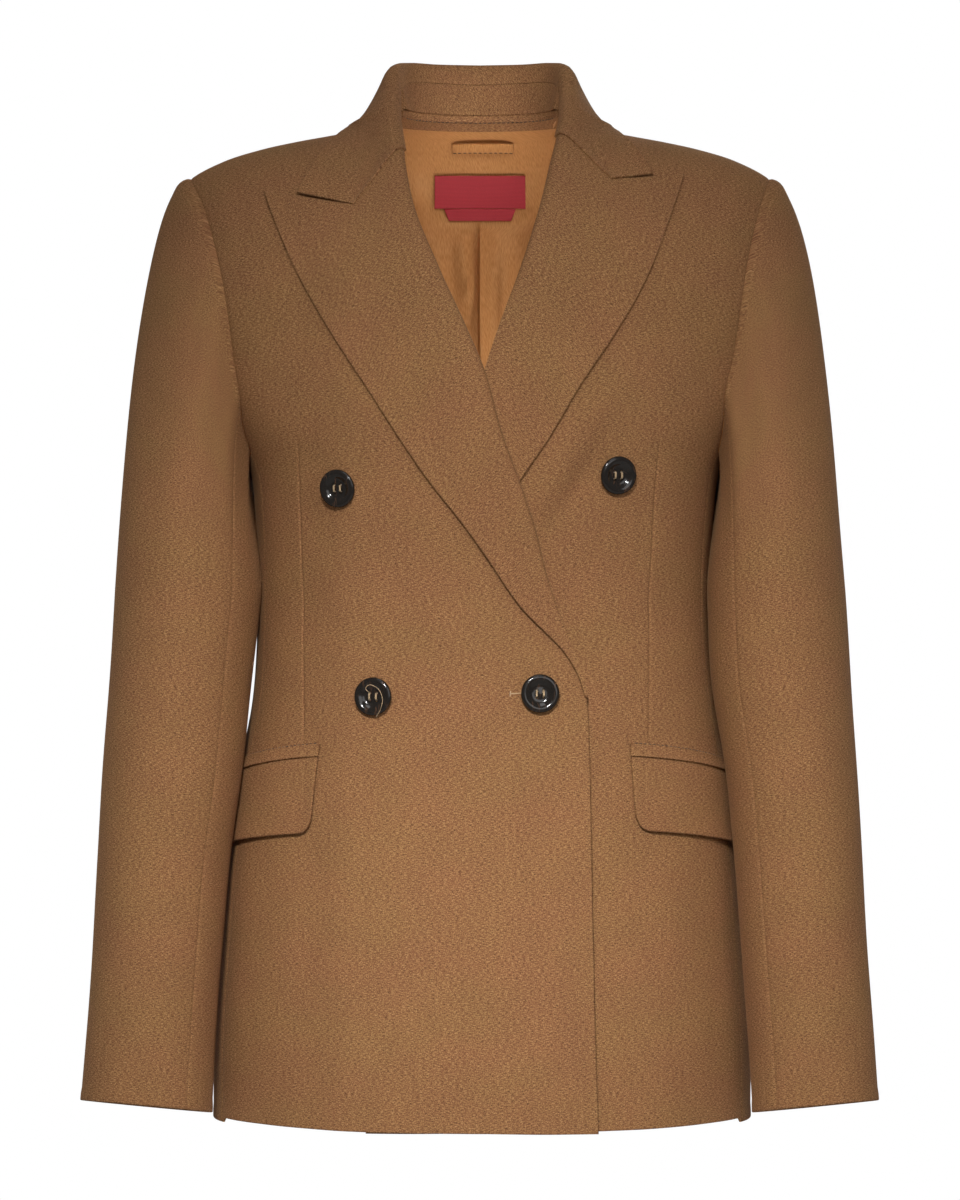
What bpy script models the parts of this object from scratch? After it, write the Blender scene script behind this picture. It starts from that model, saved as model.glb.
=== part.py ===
"""Double breasted blazer with peak lapels, hollow and filled out as if worn.

Every panel is a thin wall laid on one form: a torso whose level sections are listed in BODY and
whose top rounds over to the shoulder line in SHOULDER.  A place on the form is given by its turn,
in degrees round from centre front, + towards the wearer's left, and its rise, in radians of the
bend over the shoulder: pi/2 is on the shoulder line and anything below zero is straight wall.
Lengths are in millimetres.  The origin is between the shoulders at the neck's base, +X is the
wearer's left, the front faces -Y and +Z is up.
"""

from collections import namedtuple

import bmesh
import bpy
import numpy as np
from mathutils import Matrix, Vector

MM = 0.001
CLOTH = 1.8
LINING = 1.0
GAP = 0.3
SEAM = GAP / 2
OVER = np.pi / 2

HEM = -656.0
HEM_DIP = 3.0
BREAK = -350.0
UNDERARM = -206.0
UNDERARM_DIP = 12.0
NECK_HALF = 58.0
NECK_BACK = 27.0
SEAM_FRONT = 71.5
SEAM_BACK = 112.0

LOW_ROWS = 5
WAIST_ROWS = 4
SHOULDER_ROWS = 8
FRONT_COLUMNS = 12
SIDE_COLUMNS = 4
BACK_COLUMNS = 5
NECK_COLUMNS = 4

SQUARE = 2.3
SHOULDER_Y = 4.0
FRONT_ROUND = 125.0
BACK_ROUND = 75.0
BACK_CLIMB = 1.45

Section = namedtuple("Section", "height half_width front back shift")
BODY = (
    Section(-657, 182.3, 121, 113, 1.3),
    Section(-600, 182.1, 119, 112, 1.2),
    Section(-540, 177.7, 116, 110, 1.1),
    Section(-477, 172.6, 112, 106, 1.6),
    Section(-420, 165.5, 108, 99, 2.0),
    Section(-375, 158.0, 106, 93, 3.2),
    Section(-335, 154.0, 105, 90, 2.5),
    Section(-290, 153.6, 107, 90, 2.5),
    Section(-250, 155.4, 111, 93, 3.1),
    Section(-215, 160.5, 115, 98, 3.2),
    Section(-185, 176.0, 116, 101, 2.0),
    Section(-155, 188.0, 115, 104, 1.5),
    Section(-120, 195.5, 113, 106, 1.0),
    Section(-75, 200.0, 109, 106, 1.0),
    Section(-20, 204.0, 103, 104, 1.0),
    Section(45, 208.0, 97, 100, 1.0),
)

Ridge = namedtuple("Ridge", "out height")
SHOULDER = (
    Ridge(0, 37), Ridge(30, 33.5), Ridge(52, 27.5), Ridge(75, 17.5), Ridge(91, 11.8), Ridge(103, 9.5),
    Ridge(125, 5.5), Ridge(150, 0), Ridge(175, -8), Ridge(198, -20.5), Ridge(215, -36),
)

# How far out each side's armhole lies, seen from the front and from the back.
Armhole = namedtuple("Armhole", "height right left back")
ARMHOLE = (
    Armhole(-167, 160.7, 163.5, 161.5), Armhole(-144, 164.5, 169.0, 167.0),
    Armhole(-113, 168.5, 174.0, 172.5), Armhole(-81, 174.6, 179.0, 178.5),
    Armhole(-57, 181.1, 184.5, 184.0), Armhole(-37, 188.1, 190.5, 190.0),
    Armhole(-19, 197.1, 197.1, 197.1),
)

# Lines seen from the front: x at each height, for the right front on top and the left below it.
Line = namedtuple("Line", "height right left")
ROLL = (
    Line(-352, 64.5, -57.5), Line(-318, 52.3, -46.0), Line(-291, 43.9, -37.5),
    Line(-258, 36.0, -29.0), Line(-227, 25.6, -19.0), Line(-195, 14.2, -8.0),
    Line(-154, 2.6, 3.2), Line(-125, -9.8, 12.8), Line(-86, -27.5, 27.0),
    Line(-46, -43.3, 39.3), Line(-6.5, -51.0, 48.8), Line(3.5, -52.5, 51.5),
    Line(15, -55.5, 55.5), Line(27, -58.0, 58.0),
)
LAPEL_EDGE = (
    Line(-345, 57.5, -51.0), Line(-308, 24.3, -27.0), Line(-280, 6.0, -6.0),
    Line(-253, -13.0, 10.0), Line(-227.5, -32.7, 26.2), Line(-199, -52.3, 45.3),
    Line(-162, -76.0, 67.5), Line(-130, -97.0, 89.0), Line(-96, -117.3, 108.5),
    Line(-62.4, -132.7, 122.1), Line(-34.3, -143.5, 132.3), Line(-22.7, -147.0, 136.0),
)
FRONT_EDGE = (
    Line(-660, 76.8, -75.0), Line(-600, 74.7, -74.0), Line(-535, 73.4, -73.0),
    Line(-470, 72.2, -72.0), Line(-411, 71.0, -71.0), Line(-378, 69.7, -69.0),
    Line(-362, 67.7, -64.0), Line(-352, 64.5, -57.5),
)

# The ends of the gorge seam and the points of collar and lapel, seen from the front.
Gorge = namedtuple("Gorge", "start_x start_z notch_x notch_z corner_x corner_z tip_x tip_z")
GORGE = {
    "right": Gorge(-51.0, -6.5, -82.2, -46.2, -120.7, -36.6, -143.5, -34.3),
    "left": Gorge(51.5, 3.5, 86.0, -28.5, 115.0, -23.6, 136.0, -22.7),
}
LAPEL_END = -346.0
LAPEL_ROWS = 18
GORGE_COLUMNS = 3
TOP_EDGE_COLUMNS = 4

# Height of a rolled edge above the cloth it lies on, at each distance in from the fold.
Roll = namedtuple("Roll", "inward height")
ROLL_PROFILE = (
    Roll(0, -1.0), Roll(0.7, 1.5), Roll(2.6, 3.7), Roll(6.5, 5.2), Roll(15, 5.0),
    Roll(30, 3.9), Roll(50, 3.1), Roll(200, 2.8),
)
ROLL_STEPS = (0.0, 0.7, 2.6, 6.5)
# The same steps where the lapel is narrow, as shares of its width.
NARROW_STEPS = (0.0, 0.08, 0.18, 0.34)
# Between these heights each lapel's fold goes from pressed flat to round.
ROUNDS_OFF = {"right": (-348.0, -250.0), "left": (-132.0, -70.0)}
FLAT_HEIGHT = 2.8
EDGE_INSET = 3.4
INSET_ENDS = (8.0, 25.5)

# The right front rises to clear the layers of the left front below it.
OVERLAP = 5.2
OVERLAP_SIDE = (-118.0, -80.0)
OVERLAP_TOP = (-40.0, -110.0)

# The collar from centre back to the gorge: the crest of its fold, and its outer edge as a
# distance out and a tilt in degrees from the shoulder line, + to the back.
Station = namedtuple("Station", "fold_x fold_y fold_z edge_x edge_tilt into")
COLLAR = (
    Station(0.0, 57, 62.5, 0, 52, 0.0),
    Station(30.0, 52, 62.5, 45, 44, 0.0),
    Station(49.5, 37, 62.0, 77, 29, 0.0),
    Station(57.5, 14, 57.5, 89.5, 9, 0.1),
    Station(57.5, -10, 41, 93.5, -7, 0.35),
    Station(55.0, -38, 19, 99.5, -20, 0.8),
)
COLLAR_COLUMNS = 10
COLLAR_PACKED = 1.25
FALL_STEPS = 6
COLLAR_LIFT = 3.2
# The stand meets the collar this far below the fold, and the neck edge this far inside it.
STAND_DROP = 13.0
STAND_INSIDE = 2.3
STAND_UP = 1.3
STAND_ROWS = 2
STAND_ENDS = 3
# The part of the collar that turns down inside to the stand.
INSIDE = 2.0
INSIDE_DROP = 3.0
INSIDE_MOST = 0.85
# How far along from the gorge the collar takes on the shape of its end there.
GORGE_REACH = 0.3
# Where the lining ends between the last two rows of the back, at the neck and at the shoulder.
LINING_NECK = 0.5
LINING_SHOULDER = 0.97

Ring = namedtuple("Ring", "height outer inner_right inner_left depth middle")
SLEEVE = (
    Ring(-645, 265.8, 178.5, 181.5, 41.0, -68),
    Ring(-600, 262.7, 176.3, 178.6, 43.0, -65),
    Ring(-540, 258.6, 172.3, 174.5, 46.0, -60),
    Ring(-480, 255.7, 167.4, 170.2, 49.5, -53),
    Ring(-420, 252.8, 160.6, 166.4, 53.0, -46),
    Ring(-360, 249.2, 155.4, 157.0, 56.0, -37),
    Ring(-300, 245.8, 148.8, 154.2, 58.5, -31),
)
SLEEVE_TOP = -300.0
CUFF_OUTER = -639.0
CUFF_INNER = -647.0
CUFF_PITCH = 5.0
CAP_ROWS = 8
ARM_ROWS = 8
UNDER_FROM = 7
UNDER_TO = 14
UNDER_SPAN = 60.0

# How the sleeve leaves the armhole and comes down to its rings, over the top and under the arm.
Cap = namedtuple("Cap", "out down reach")
CAP_TOP = Cap(100.0, 14.0, 250.0)
CAP_UNDER = Cap(2.0, 54.0, 80.0)
CAP_FORWARD = 18.0

# Pockets, as turns round the body and heights.
Pocket = namedtuple("Pocket", "front_x back_turn top_front top_back bottom_front bottom_back")
POCKET = {
    "right": Pocket(-105.5, -96.0, -409.0, -428.0, -460.5, -476.0),
    "left": Pocket(99.0, 94.0, -408.5, -428.0, -458.5, -476.0),
}
FLAP_COLUMNS = 10
FLAP_ROWS = 3
FLAP_CORNER = 9.0
FLAP_LENGTH = 130.0
FLAP_BEND = 1.3
ON_PANEL = 0.9
WELT_HEIGHT = 7.5
WELT_PROUD = 1.2

BUTTON_HOLE = 1.1
BUTTON_HOLE_SPACING = 2.3
BUTTON_STEPS = 20
BUTTON_SEAT = 0.6
# Profile of a button from its face's centre, over the rim and back under, as radius and height.
BUTTON_PROFILE = (
    (0.0, 2.3), (6.2, 2.3), (8.2, 3.6), (10.6, 4.3), (12.2, 3.7), (12.7, 2.4), (11.4, 0.9),
    (7.0, 0.0), (0.0, 0.0),
)
Button = namedtuple("Button", "name x height side")
BUTTONS = (
    Button("button_top_right", -90.8, -231.7, "right"),
    Button("button_low_right", -68.4, -369.8, "right"),
    Button("button_fastened", 38.7, -367.7, "right"),
    Button("button_top_left", 90.2, -223.7, "left"),
)

LABEL_HALF = 32.5
LABEL_TOP = -6.5
LABEL_BOTTOM = -30.5
TAB_HALF = 25.5
TAB_BOTTOM = -40.0
LABEL_THICK = 0.8
FACET_ROOM = 2.0
LOOP_FROM, LOOP_TO = -20.0, 24.0
LOOP_TOP, LOOP_BOTTOM = 14.5, 9.0
LOOP_BOW = 4.0
LOOP_ROOM = 1.4

Finish = namedtuple("Finish", "colour roughness")
FINISHES = {
    "wool": Finish((0.258, 0.127, 0.056), 0.9),
    "satin": Finish((0.392, 0.175, 0.051), 0.4),
    "label": Finish((0.270, 0.028, 0.033), 0.8),
    "horn": Finish((0.022, 0.016, 0.013), 0.2),
}


# Curves through the tables

def smooth(keys, values, at):
    """Value at each place on a smooth curve through the given ones, level past its ends."""
    keys = np.asarray(keys, float)
    values = np.asarray(values, float)
    slopes = np.gradient(values, keys)
    at = np.clip(at, keys[0], keys[-1])
    i = np.clip(np.searchsorted(keys, at) - 1, 0, len(keys) - 2)
    step = keys[i + 1] - keys[i]
    t = (at - keys[i]) / step
    return (
        (1 + 2 * t) * (1 - t) ** 2 * values[i]
        + t * (1 - t) ** 2 * step * slopes[i]
        + t * t * (3 - 2 * t) * values[i + 1]
        + t * t * (t - 1) * step * slopes[i + 1]
    )


def column(table, name, at):
    """A named column of a table, at values of the table's first column."""
    return smooth([row[0] for row in table], [getattr(row, name) for row in table], at)


def blend(start, end, at):
    """0 at start, 1 at end, eased between."""
    t = np.clip((np.asarray(at, float) - start) / (end - start), 0, 1)
    return t * t * (3 - 2 * t)


def unit(vectors):
    return vectors / np.linalg.norm(vectors, axis=-1, keepdims=True)


# The form

def ridge(x):
    """Height of the shoulder line."""
    return column(SHOULDER, "height", np.abs(x))


def rounding(turn):
    """Radius of the bend below the shoulder line."""
    frontness = (1 + np.cos(np.radians(turn))) / 2
    return BACK_ROUND + (FRONT_ROUND - BACK_ROUND) * frontness


def section_point(turn, height):
    """x and full depth of the body's level section."""
    across = np.sin(np.radians(turn))
    along = np.cos(np.radians(turn))
    reach = column(BODY, "half_width", height)
    x = column(BODY, "shift", height) + reach * np.sign(across) * np.abs(across) ** (2 / SQUARE)
    depth = np.where(along > 0, -column(BODY, "front", height), column(BODY, "back", height))
    return x, depth * np.abs(along) ** (2 / SQUARE)


def form(turn, rise):
    """Point of the form at a turn and a rise."""
    turn, rise = np.broadcast_arrays(np.asarray(turn, float), np.asarray(rise, float))
    radius = rounding(turn)
    climb = radius * np.where(rise > 0, np.sin(rise), rise)
    height = climb - FRONT_ROUND
    for _ in range(8):
        x, depth = section_point(turn, height)
        height = ridge(x) - radius + climb
    x, depth = section_point(turn, height)
    y = SHOULDER_Y + (depth - SHOULDER_Y) * np.cos(np.maximum(rise, 0))
    return np.stack([x, y, height], -1)


def facing(turn, rise):
    """Outward normal of the form."""
    around = form(turn + 0.2, rise) - form(turn - 0.2, rise)
    up = form(turn, rise + 0.004) - form(turn, rise - 0.004)
    return unit(np.cross(around, up))


def rise_at(turn, height):
    """Rise of a height on the column at this turn."""
    x, _ = section_point(turn, height)
    radius = rounding(turn)
    lift = (height - ridge(x) + radius) / radius
    return np.where(lift > 0, np.arcsin(np.clip(lift, 0, 1)), lift)


def turn_at(x, height, back=False):
    """Turn of a place seen from the front, or from the back."""
    share = (x - column(BODY, "shift", height)) / column(BODY, "half_width", height)
    share = np.clip(share, -0.9999, 0.9999)
    turn = np.degrees(np.arcsin(np.sign(share) * np.abs(share) ** (SQUARE / 2)))
    return np.where(back, np.where(turn < 0, -180.0, 180.0) - turn, turn)


def seen(x, height, back=False):
    """Turn and rise of a place seen from the front, or from the back."""
    x, height = np.broadcast_arrays(np.asarray(x, float), np.asarray(height, float))
    turn = turn_at(x, height, back)
    return turn, rise_at(turn, height)


def overlap(points):
    """How far the right front stands off the form, to clear the left one."""
    across = blend(*OVERLAP_SIDE, points[..., 0])
    down = blend(*OVERLAP_TOP, points[..., 2])
    return OVERLAP * across * down


def laid(turn, rise, out=0.0, on_right=False):
    """Points and normals on the form, moved out, or out from the right front."""
    points = form(turn, rise)
    normals = facing(turn, rise)
    lift = out + (overlap(points) if on_right else 0.0)
    return points + normals * np.asarray(lift)[..., None], normals


# Walls

def wall(name, points, normals, thickness, finish):
    """A closed wall whose outer face goes through a grid of points."""
    rows, columns = points.shape[:2]
    inner = points - normals * thickness
    vertices = np.concatenate([points.reshape(-1, 3), inner.reshape(-1, 3)]) * MM
    layer = rows * columns
    faces = []
    for r in range(rows - 1):
        for c in range(columns - 1):
            a = r * columns + c
            quad = (a, a + 1, a + columns + 1, a + columns)
            faces.append(quad)
            faces.append(tuple(layer + v for v in reversed(quad)))
    rim = [c for c in range(columns)]
    rim += [r * columns + columns - 1 for r in range(1, rows)]
    rim += [(rows - 1) * columns + c for c in range(columns - 2, -1, -1)]
    rim += [r * columns for r in range(rows - 2, 0, -1)]
    for a, b in zip(rim, rim[1:] + rim[:1]):
        faces.append((b, a, layer + a, layer + b))
    shape = bmesh.new()
    made = [shape.verts.new(v) for v in vertices]
    for face in faces:
        shape.faces.new([made[i] for i in face])
    shape.normal_update()
    if shape.calc_volume(signed=True) < 0:
        bmesh.ops.reverse_faces(shape, faces=shape.faces)
    bmesh.ops.triangulate(shape, faces=shape.faces)
    return add_object(name, shape, finish)


def add_object(name, shape, finish):
    """Turn a bmesh into an object with its material, in the jacket's collection."""
    mesh = bpy.data.meshes.new(name)
    shape.to_mesh(mesh)
    shape.free()
    mesh.shade_smooth()
    mesh.set_sharp_from_angle(angle=0.7)
    mesh.materials.append(material(finish))
    made = bpy.data.objects.new(name, mesh)
    jacket.objects.link(made)
    return made


def material(finish):
    """The shared material of one finish."""
    found = bpy.data.materials.get(finish)
    if found:
        return found
    made = bpy.data.materials.new(finish)
    made.use_nodes = True
    shader = made.node_tree.nodes["Principled BSDF"]
    shader.inputs["Base Color"].default_value = (*FINISHES[finish].colour, 1.0)
    shader.inputs["Roughness"].default_value = FINISHES[finish].roughness
    return made


def pull_in(points, edges, amount=SEAM):
    """Move the named edges of a grid in along it, which leaves a gap at each seam."""
    moved = points.copy()
    if "bottom" in edges:
        moved[0] += away(points[0], points[1]) * amount
    if "top" in edges:
        moved[-1] += away(points[-1], points[-2]) * amount
    if "first" in edges:
        moved[:, 0] += away(points[:, 0], points[:, 1]) * amount
    if "last" in edges:
        moved[:, -1] += away(points[:, -1], points[:, -2]) * amount
    return moved


def away(edge, beside):
    """Directions from an edge into the grid, square to the edge."""
    line = unit(np.gradient(edge, axis=0))
    into = beside - edge
    return unit(into - line * (into * line).sum(-1, keepdims=True))


def patch(first, last, bottom, top):
    """A grid of turns and rises blended between its four edges."""
    t = np.linspace(0, 1, len(first))[:, None, None]
    s = np.linspace(0, 1, len(bottom))[None, :, None]
    sides = (1 - s) * first[:, None] + s * last[:, None]
    ends = (1 - t) * bottom[None] + t * top[None]
    corners = (
        (1 - s) * (1 - t) * bottom[0] + s * (1 - t) * bottom[-1]
        + (1 - s) * t * top[0] + s * t * top[-1]
    )
    return sides + ends - corners


# Edges of the body panels, each from the hem up, as rows of turn and rise

def lower_heights():
    """Heights of the rows from hem to underarm."""
    low = np.linspace(HEM, BREAK, LOW_ROWS + 1)
    waist = np.linspace(BREAK, UNDERARM, WAIST_ROWS + 1)
    return np.concatenate([low, waist[1:]])


def upright(turn_of):
    """An edge that climbs from the hem to the shoulder line, its turn given by its height."""
    heights = lower_heights()
    turns = turn_of(heights)
    rises = rise_at(turns, heights)
    upper = np.linspace(rises[-1], OVER, SHOULDER_ROWS + 1)[1:]
    reached = np.linspace(UNDERARM, 0, SHOULDER_ROWS)
    for _ in range(12):
        upper_turns = turn_of(reached)
        reached = form(upper_turns, upper)[..., 2]
    return np.stack([np.append(turns, upper_turns), np.append(rises, upper)], -1)


def armhole_turn(side, back=False):
    """Turn of a panel's edge at the side seam and round the armhole, by height."""
    sign = 1 if side == "left" else -1
    start = sign * (SEAM_BACK if back else SEAM_FRONT)
    heights = np.array([row.height for row in ARMHOLE], float)
    out = np.array([row.back if back else getattr(row, side) for row in ARMHOLE])
    turns = turn_at(sign * out, heights, back)
    keys = np.concatenate([[UNDERARM], heights])
    values = np.concatenate([[start], turns])
    return lambda height: np.where(height <= UNDERARM, start, smooth(keys, values, height))


def front_edge_turn(side):
    """Turn of a front's edge by height: the straight edge, then just inside the roll line."""
    outward = -1 if side == "right" else 1

    def turn_of(height):
        straight = column(FRONT_EDGE, side, height)
        inset = EDGE_INSET * blend(BREAK, BREAK + 20, height) * (1 - blend(*INSET_ENDS, height))
        rolled = column(ROLL, side, height) + outward * inset
        return turn_at(np.where(height < BREAK - 2, straight, rolled), height)

    return turn_of


def front_panel(side):
    """A front, from its edge to the side seam, armhole and shoulder."""
    edge = upright(front_edge_turn(side))
    seam = upright(armhole_turn(side))
    across = np.linspace(0, 1, FRONT_COLUMNS + 1)
    hem_turns = edge[0, 0] + (seam[0, 0] - edge[0, 0]) * across
    dip = HEM_DIP * (1 - across)
    hem = np.stack([hem_turns, rise_at(hem_turns, HEM - dip + HEM_DIP)], -1)
    hem[-1] = seam[0]
    edge[0] = hem[0]
    shoulder = np.stack([edge[-1, 0] + (seam[-1, 0] - edge[-1, 0]) * across,
                         np.full(len(across), OVER)], -1)
    return patch(edge, seam, hem, shoulder)


def side_panel(side):
    """A side panel, from the front seam to the back seam and up to the underarm."""
    front = upright(armhole_turn(side))
    back = upright(armhole_turn(side, True))
    rows = LOW_ROWS + WAIST_ROWS + 1
    across = np.linspace(0, 1, SIDE_COLUMNS + 1)
    turns = front[0, 0] + (back[0, 0] - front[0, 0]) * across
    hem = np.stack([turns, rise_at(turns, HEM)], -1)
    top = np.stack([turns, rise_at(turns, UNDERARM - UNDERARM_DIP * 4 * across * (1 - across))], -1)
    return patch(front[:rows], back[:rows], hem, top)


def back_panel(side):
    """Half the back, from the side seam to the centre-back seam."""
    sign = 1 if side == "left" else -1
    seam = upright(armhole_turn(side, True))
    shoulder = np.linspace(seam[-1, 0], turn_at(sign * NECK_HALF, NECK_BACK, True),
                           BACK_COLUMNS + 1)
    across = np.linspace(0, np.pi / 2, NECK_COLUMNS + 1)[1:]
    neck_turns, neck_rises = seen(sign * NECK_HALF * np.cos(across), NECK_BACK, True)
    neck_turns[-1] = sign * 180.0
    neck_rises[-1] = rise_at(180.0, NECK_BACK)
    top = np.stack([np.concatenate([shoulder, neck_turns]),
                    np.concatenate([np.full(len(shoulder), OVER), neck_rises])], -1)
    columns = len(top)
    across = np.linspace(0, 1, columns)
    turns = seam[0, 0] + (sign * 180.0 - seam[0, 0]) * across
    hem = np.stack([turns, rise_at(turns, HEM)], -1)
    rows = lower_heights()
    rises = rise_at(180.0, rows)
    climb = np.linspace(0, 1, SHOULDER_ROWS + 1)[1:]
    climb = climb * (BACK_CLIMB - (BACK_CLIMB - 1) * climb)
    upper = rises[-1] + (neck_rises[-1] - rises[-1]) * climb
    rises = np.append(rises, upper)
    centre = np.stack([np.full(len(rises), sign * 180.0), rises], -1)
    return patch(seam, centre, hem, top)


# Armhole and sleeve

def armhole_loop(side):
    """Points round the armhole: from the shoulder down the front and up the back."""
    start = LOW_ROWS + WAIST_ROWS
    front = front_panel(side)[start:, -1]
    under = side_panel(side)[-1]
    back = back_panel(side)[start:, 0]
    loop = np.concatenate([front[::-1], under[1:-1], back])
    points, normals = laid(loop[:, 0], loop[:, 1])
    if side == "right":
        points = points + normals * overlap(points)[:, None]
    return points, normals


def toward_centre(points, centre, normals):
    """Normals for an armhole's edge, leaned so that both walls close towards its centre."""
    return unit(normals + unit(points - centre))


def sleeve_angles():
    """Angle round the sleeve of each point of the armhole, 0 at the outer edge."""
    first, last = 180 - UNDER_SPAN / 2, 180 + UNDER_SPAN / 2
    front = np.linspace(0, first, SHOULDER_ROWS + 1)
    under = np.linspace(first, last, SIDE_COLUMNS + 1)
    back = np.linspace(last, 360, SHOULDER_ROWS + 1)
    return np.radians(np.concatenate([front[:-1], under[:-1], back]))


def sleeve_ring(side, angle, height):
    """Points round the sleeve at the given heights."""
    sign = 1 if side == "left" else -1
    outer = column(SLEEVE, "outer", height)
    inner = column(SLEEVE, "inner_" + side, height)
    depth = column(SLEEVE, "depth", height)
    middle = column(SLEEVE, "middle", height)
    x = (outer + inner) / 2 + (outer - inner) / 2 * np.cos(angle)
    return np.stack([sign * x, middle - depth * np.sin(angle), height], -1)


def sleeve(side):
    """Points and normals of the whole sleeve, rows from the cuff up to the armhole."""
    sign = 1 if side == "left" else -1
    angle = sleeve_angles()
    loop, loop_normals = armhole_loop(side)
    across = (1 + np.cos(angle)) / 2
    cuff = CUFF_INNER + (CUFF_OUTER - CUFF_INNER) * across + CUFF_PITCH * np.sin(angle)
    rows = []
    for t in np.linspace(0, 1, ARM_ROWS + 1)[:-1]:
        rows.append(sleeve_ring(side, angle, cuff + (SLEEVE_TOP - cuff) * t))
    ring = sleeve_ring(side, angle, np.full_like(angle, SLEEVE_TOP))
    out, down, reach = [low + (high - low) * across for low, high in zip(CAP_UNDER, CAP_TOP)]
    outward = np.stack([sign * out, -CAP_FORWARD * np.sin(angle), -down], -1)
    arrive = np.stack([sign * CAP_FORWARD * across, 0 * angle, -reach], -1)
    for t in np.linspace(1, 0, CAP_ROWS + 1):
        rows.append(
            (1 + 2 * t) * (1 - t) ** 2 * loop + t * (1 - t) ** 2 * outward
            + t * t * (3 - 2 * t) * ring + t * t * (t - 1) * arrive
        )
    points = np.array(rows)
    points[-1] += away(points[-1], points[-2]) * SEAM
    around = np.roll(points[:, :-1], -1, 1) - np.roll(points[:, :-1], 1, 1)
    around = np.concatenate([around, around[:, :1]], 1)
    up = np.gradient(points, axis=0)
    normals = unit(np.cross(up, around)) * sign
    normals[-1] = toward_centre(points[-1], loop.mean(0), normals[-1])
    return points, normals


def make_sleeve(side):
    points, normals = sleeve(side)
    under = slice(UNDER_FROM, UNDER_TO + 1)
    wall("sleeve_under_" + side, pull_in(points[:, under], "first last"), normals[:, under],
         CLOTH, "wool")
    order = list(range(UNDER_TO, points.shape[1])) + list(range(1, UNDER_FROM + 1))
    wall("sleeve_top_" + side, pull_in(points[:, order], "first last"), normals[:, order],
         CLOTH, "wool")


# Body panels

def make_fronts():
    for side in ("right", "left"):
        grid = front_panel(side)
        points, normals = laid(grid[..., 0], grid[..., 1], on_right=side == "right")
        lean_armhole(points, normals, side, slice(LOW_ROWS + WAIST_ROWS, None), -1)
        wall("front_" + side, pull_in(points, "last top"), normals, CLOTH, "wool")


def make_sides():
    for side in ("right", "left"):
        grid = side_panel(side)
        points, normals = laid(grid[..., 0], grid[..., 1])
        lean_armhole(points, normals, side, -1, slice(None))
        wall("side_" + side, pull_in(points, "first last top"), normals, CLOTH, "wool")


def make_backs():
    for side in ("right", "left"):
        grid = back_panel(side)
        points, normals = laid(grid[..., 0], grid[..., 1])
        lean_armhole(points, normals, side, slice(LOW_ROWS + WAIST_ROWS, None), 0)
        wall("back_" + side, pull_in(points, "first last top"), normals, CLOTH, "wool")


def lean_armhole(points, normals, side, rows, columns):
    """Lean the normals at a panel's armhole edge, as the sleeve's are."""
    loop, _ = armhole_loop(side)
    edge = points[rows, columns]
    normals[rows, columns] = toward_centre(edge, loop.mean(0), normals[rows, columns])


# Lapels and collar

def roll_height(inward, fade):
    """Height of the folded edge above what it lies on; fade 0 presses it flat."""
    height = column(ROLL_PROFILE, "height", inward)
    return FLAT_HEIGHT + (height - FLAT_HEIGHT) * fade


def across_lapel(width, count):
    """Shares of a width at which the columns lie, close together at the fold."""
    steps = np.minimum(np.array(ROLL_STEPS), width * np.array(NARROW_STEPS))
    rest = np.linspace(0, 1, count + 1)[1:]
    return np.concatenate([steps, steps[-1] + (width - steps[-1]) * rest]) / width


def gorge_line(side):
    """The lapel's top edge, seen from the front: fold, notch and tip."""
    gorge = GORGE[side]
    start = np.array([gorge.start_x, gorge.start_z])
    notch = np.array([gorge.notch_x, gorge.notch_z])
    tip = np.array([gorge.tip_x, gorge.tip_z])
    width = np.linalg.norm(notch - start)
    shares = across_lapel(width, GORGE_COLUMNS)[:, None]
    seam = start + (notch - start) * shares
    beyond = np.linspace(0, 1, TOP_EDGE_COLUMNS + 1)[1:, None]
    return np.concatenate([seam, notch + (tip - notch) * beyond])


def lapel(side):
    """Points and normals of a lapel, rows from its foot up to the gorge."""
    top = gorge_line(side)
    gorge = GORGE[side]
    rows = []
    fold_heights = np.linspace(LAPEL_END, gorge.start_z, LAPEL_ROWS + 1)
    edge_heights = np.linspace(LAPEL_END + 1, gorge.tip_z, LAPEL_ROWS + 1)
    for t, low, high in zip(np.linspace(0, 1, LAPEL_ROWS + 1), fold_heights, edge_heights):
        fold = np.array([column(ROLL, side, low), low])
        edge = np.array([column(LAPEL_EDGE, side, high), high])
        if t == 1:
            fold, edge = top[0], top[-1]
        width = np.linalg.norm(edge - fold)
        shares = across_lapel(width, GORGE_COLUMNS + TOP_EDGE_COLUMNS)[:, None]
        straight = fold + (edge - fold) * shares
        chord = top[0] + (top[-1] - top[0]) * across_lapel(
            np.linalg.norm(top[-1] - top[0]), GORGE_COLUMNS + TOP_EDGE_COLUMNS)[:, None]
        rows.append(straight + (top - chord) * t ** 3)
    rows = np.array(rows)
    inward = np.linalg.norm(rows - rows[:, :1], axis=-1)
    turn, rise = seen(rows[..., 0], rows[..., 1])
    fade = blend(*ROUNDS_OFF[side], rows[:, :1, 1])
    points, _ = laid(turn, rise, roll_height(inward, fade), on_right=side == "right")
    return points, grid_normals(points, -1 if side == "right" else 1)


def grid_normals(points, sign):
    """Normals of a grid, from its own neighbours."""
    along = np.gradient(points, axis=0)
    across = np.gradient(points, axis=1)
    return unit(np.cross(across, along)) * sign


def make_lapels():
    for side in ("right", "left"):
        points, normals = lapel(side)
        wall("lapel_" + side, pull_in(points, "top"), normals, CLOTH, "wool")


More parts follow.
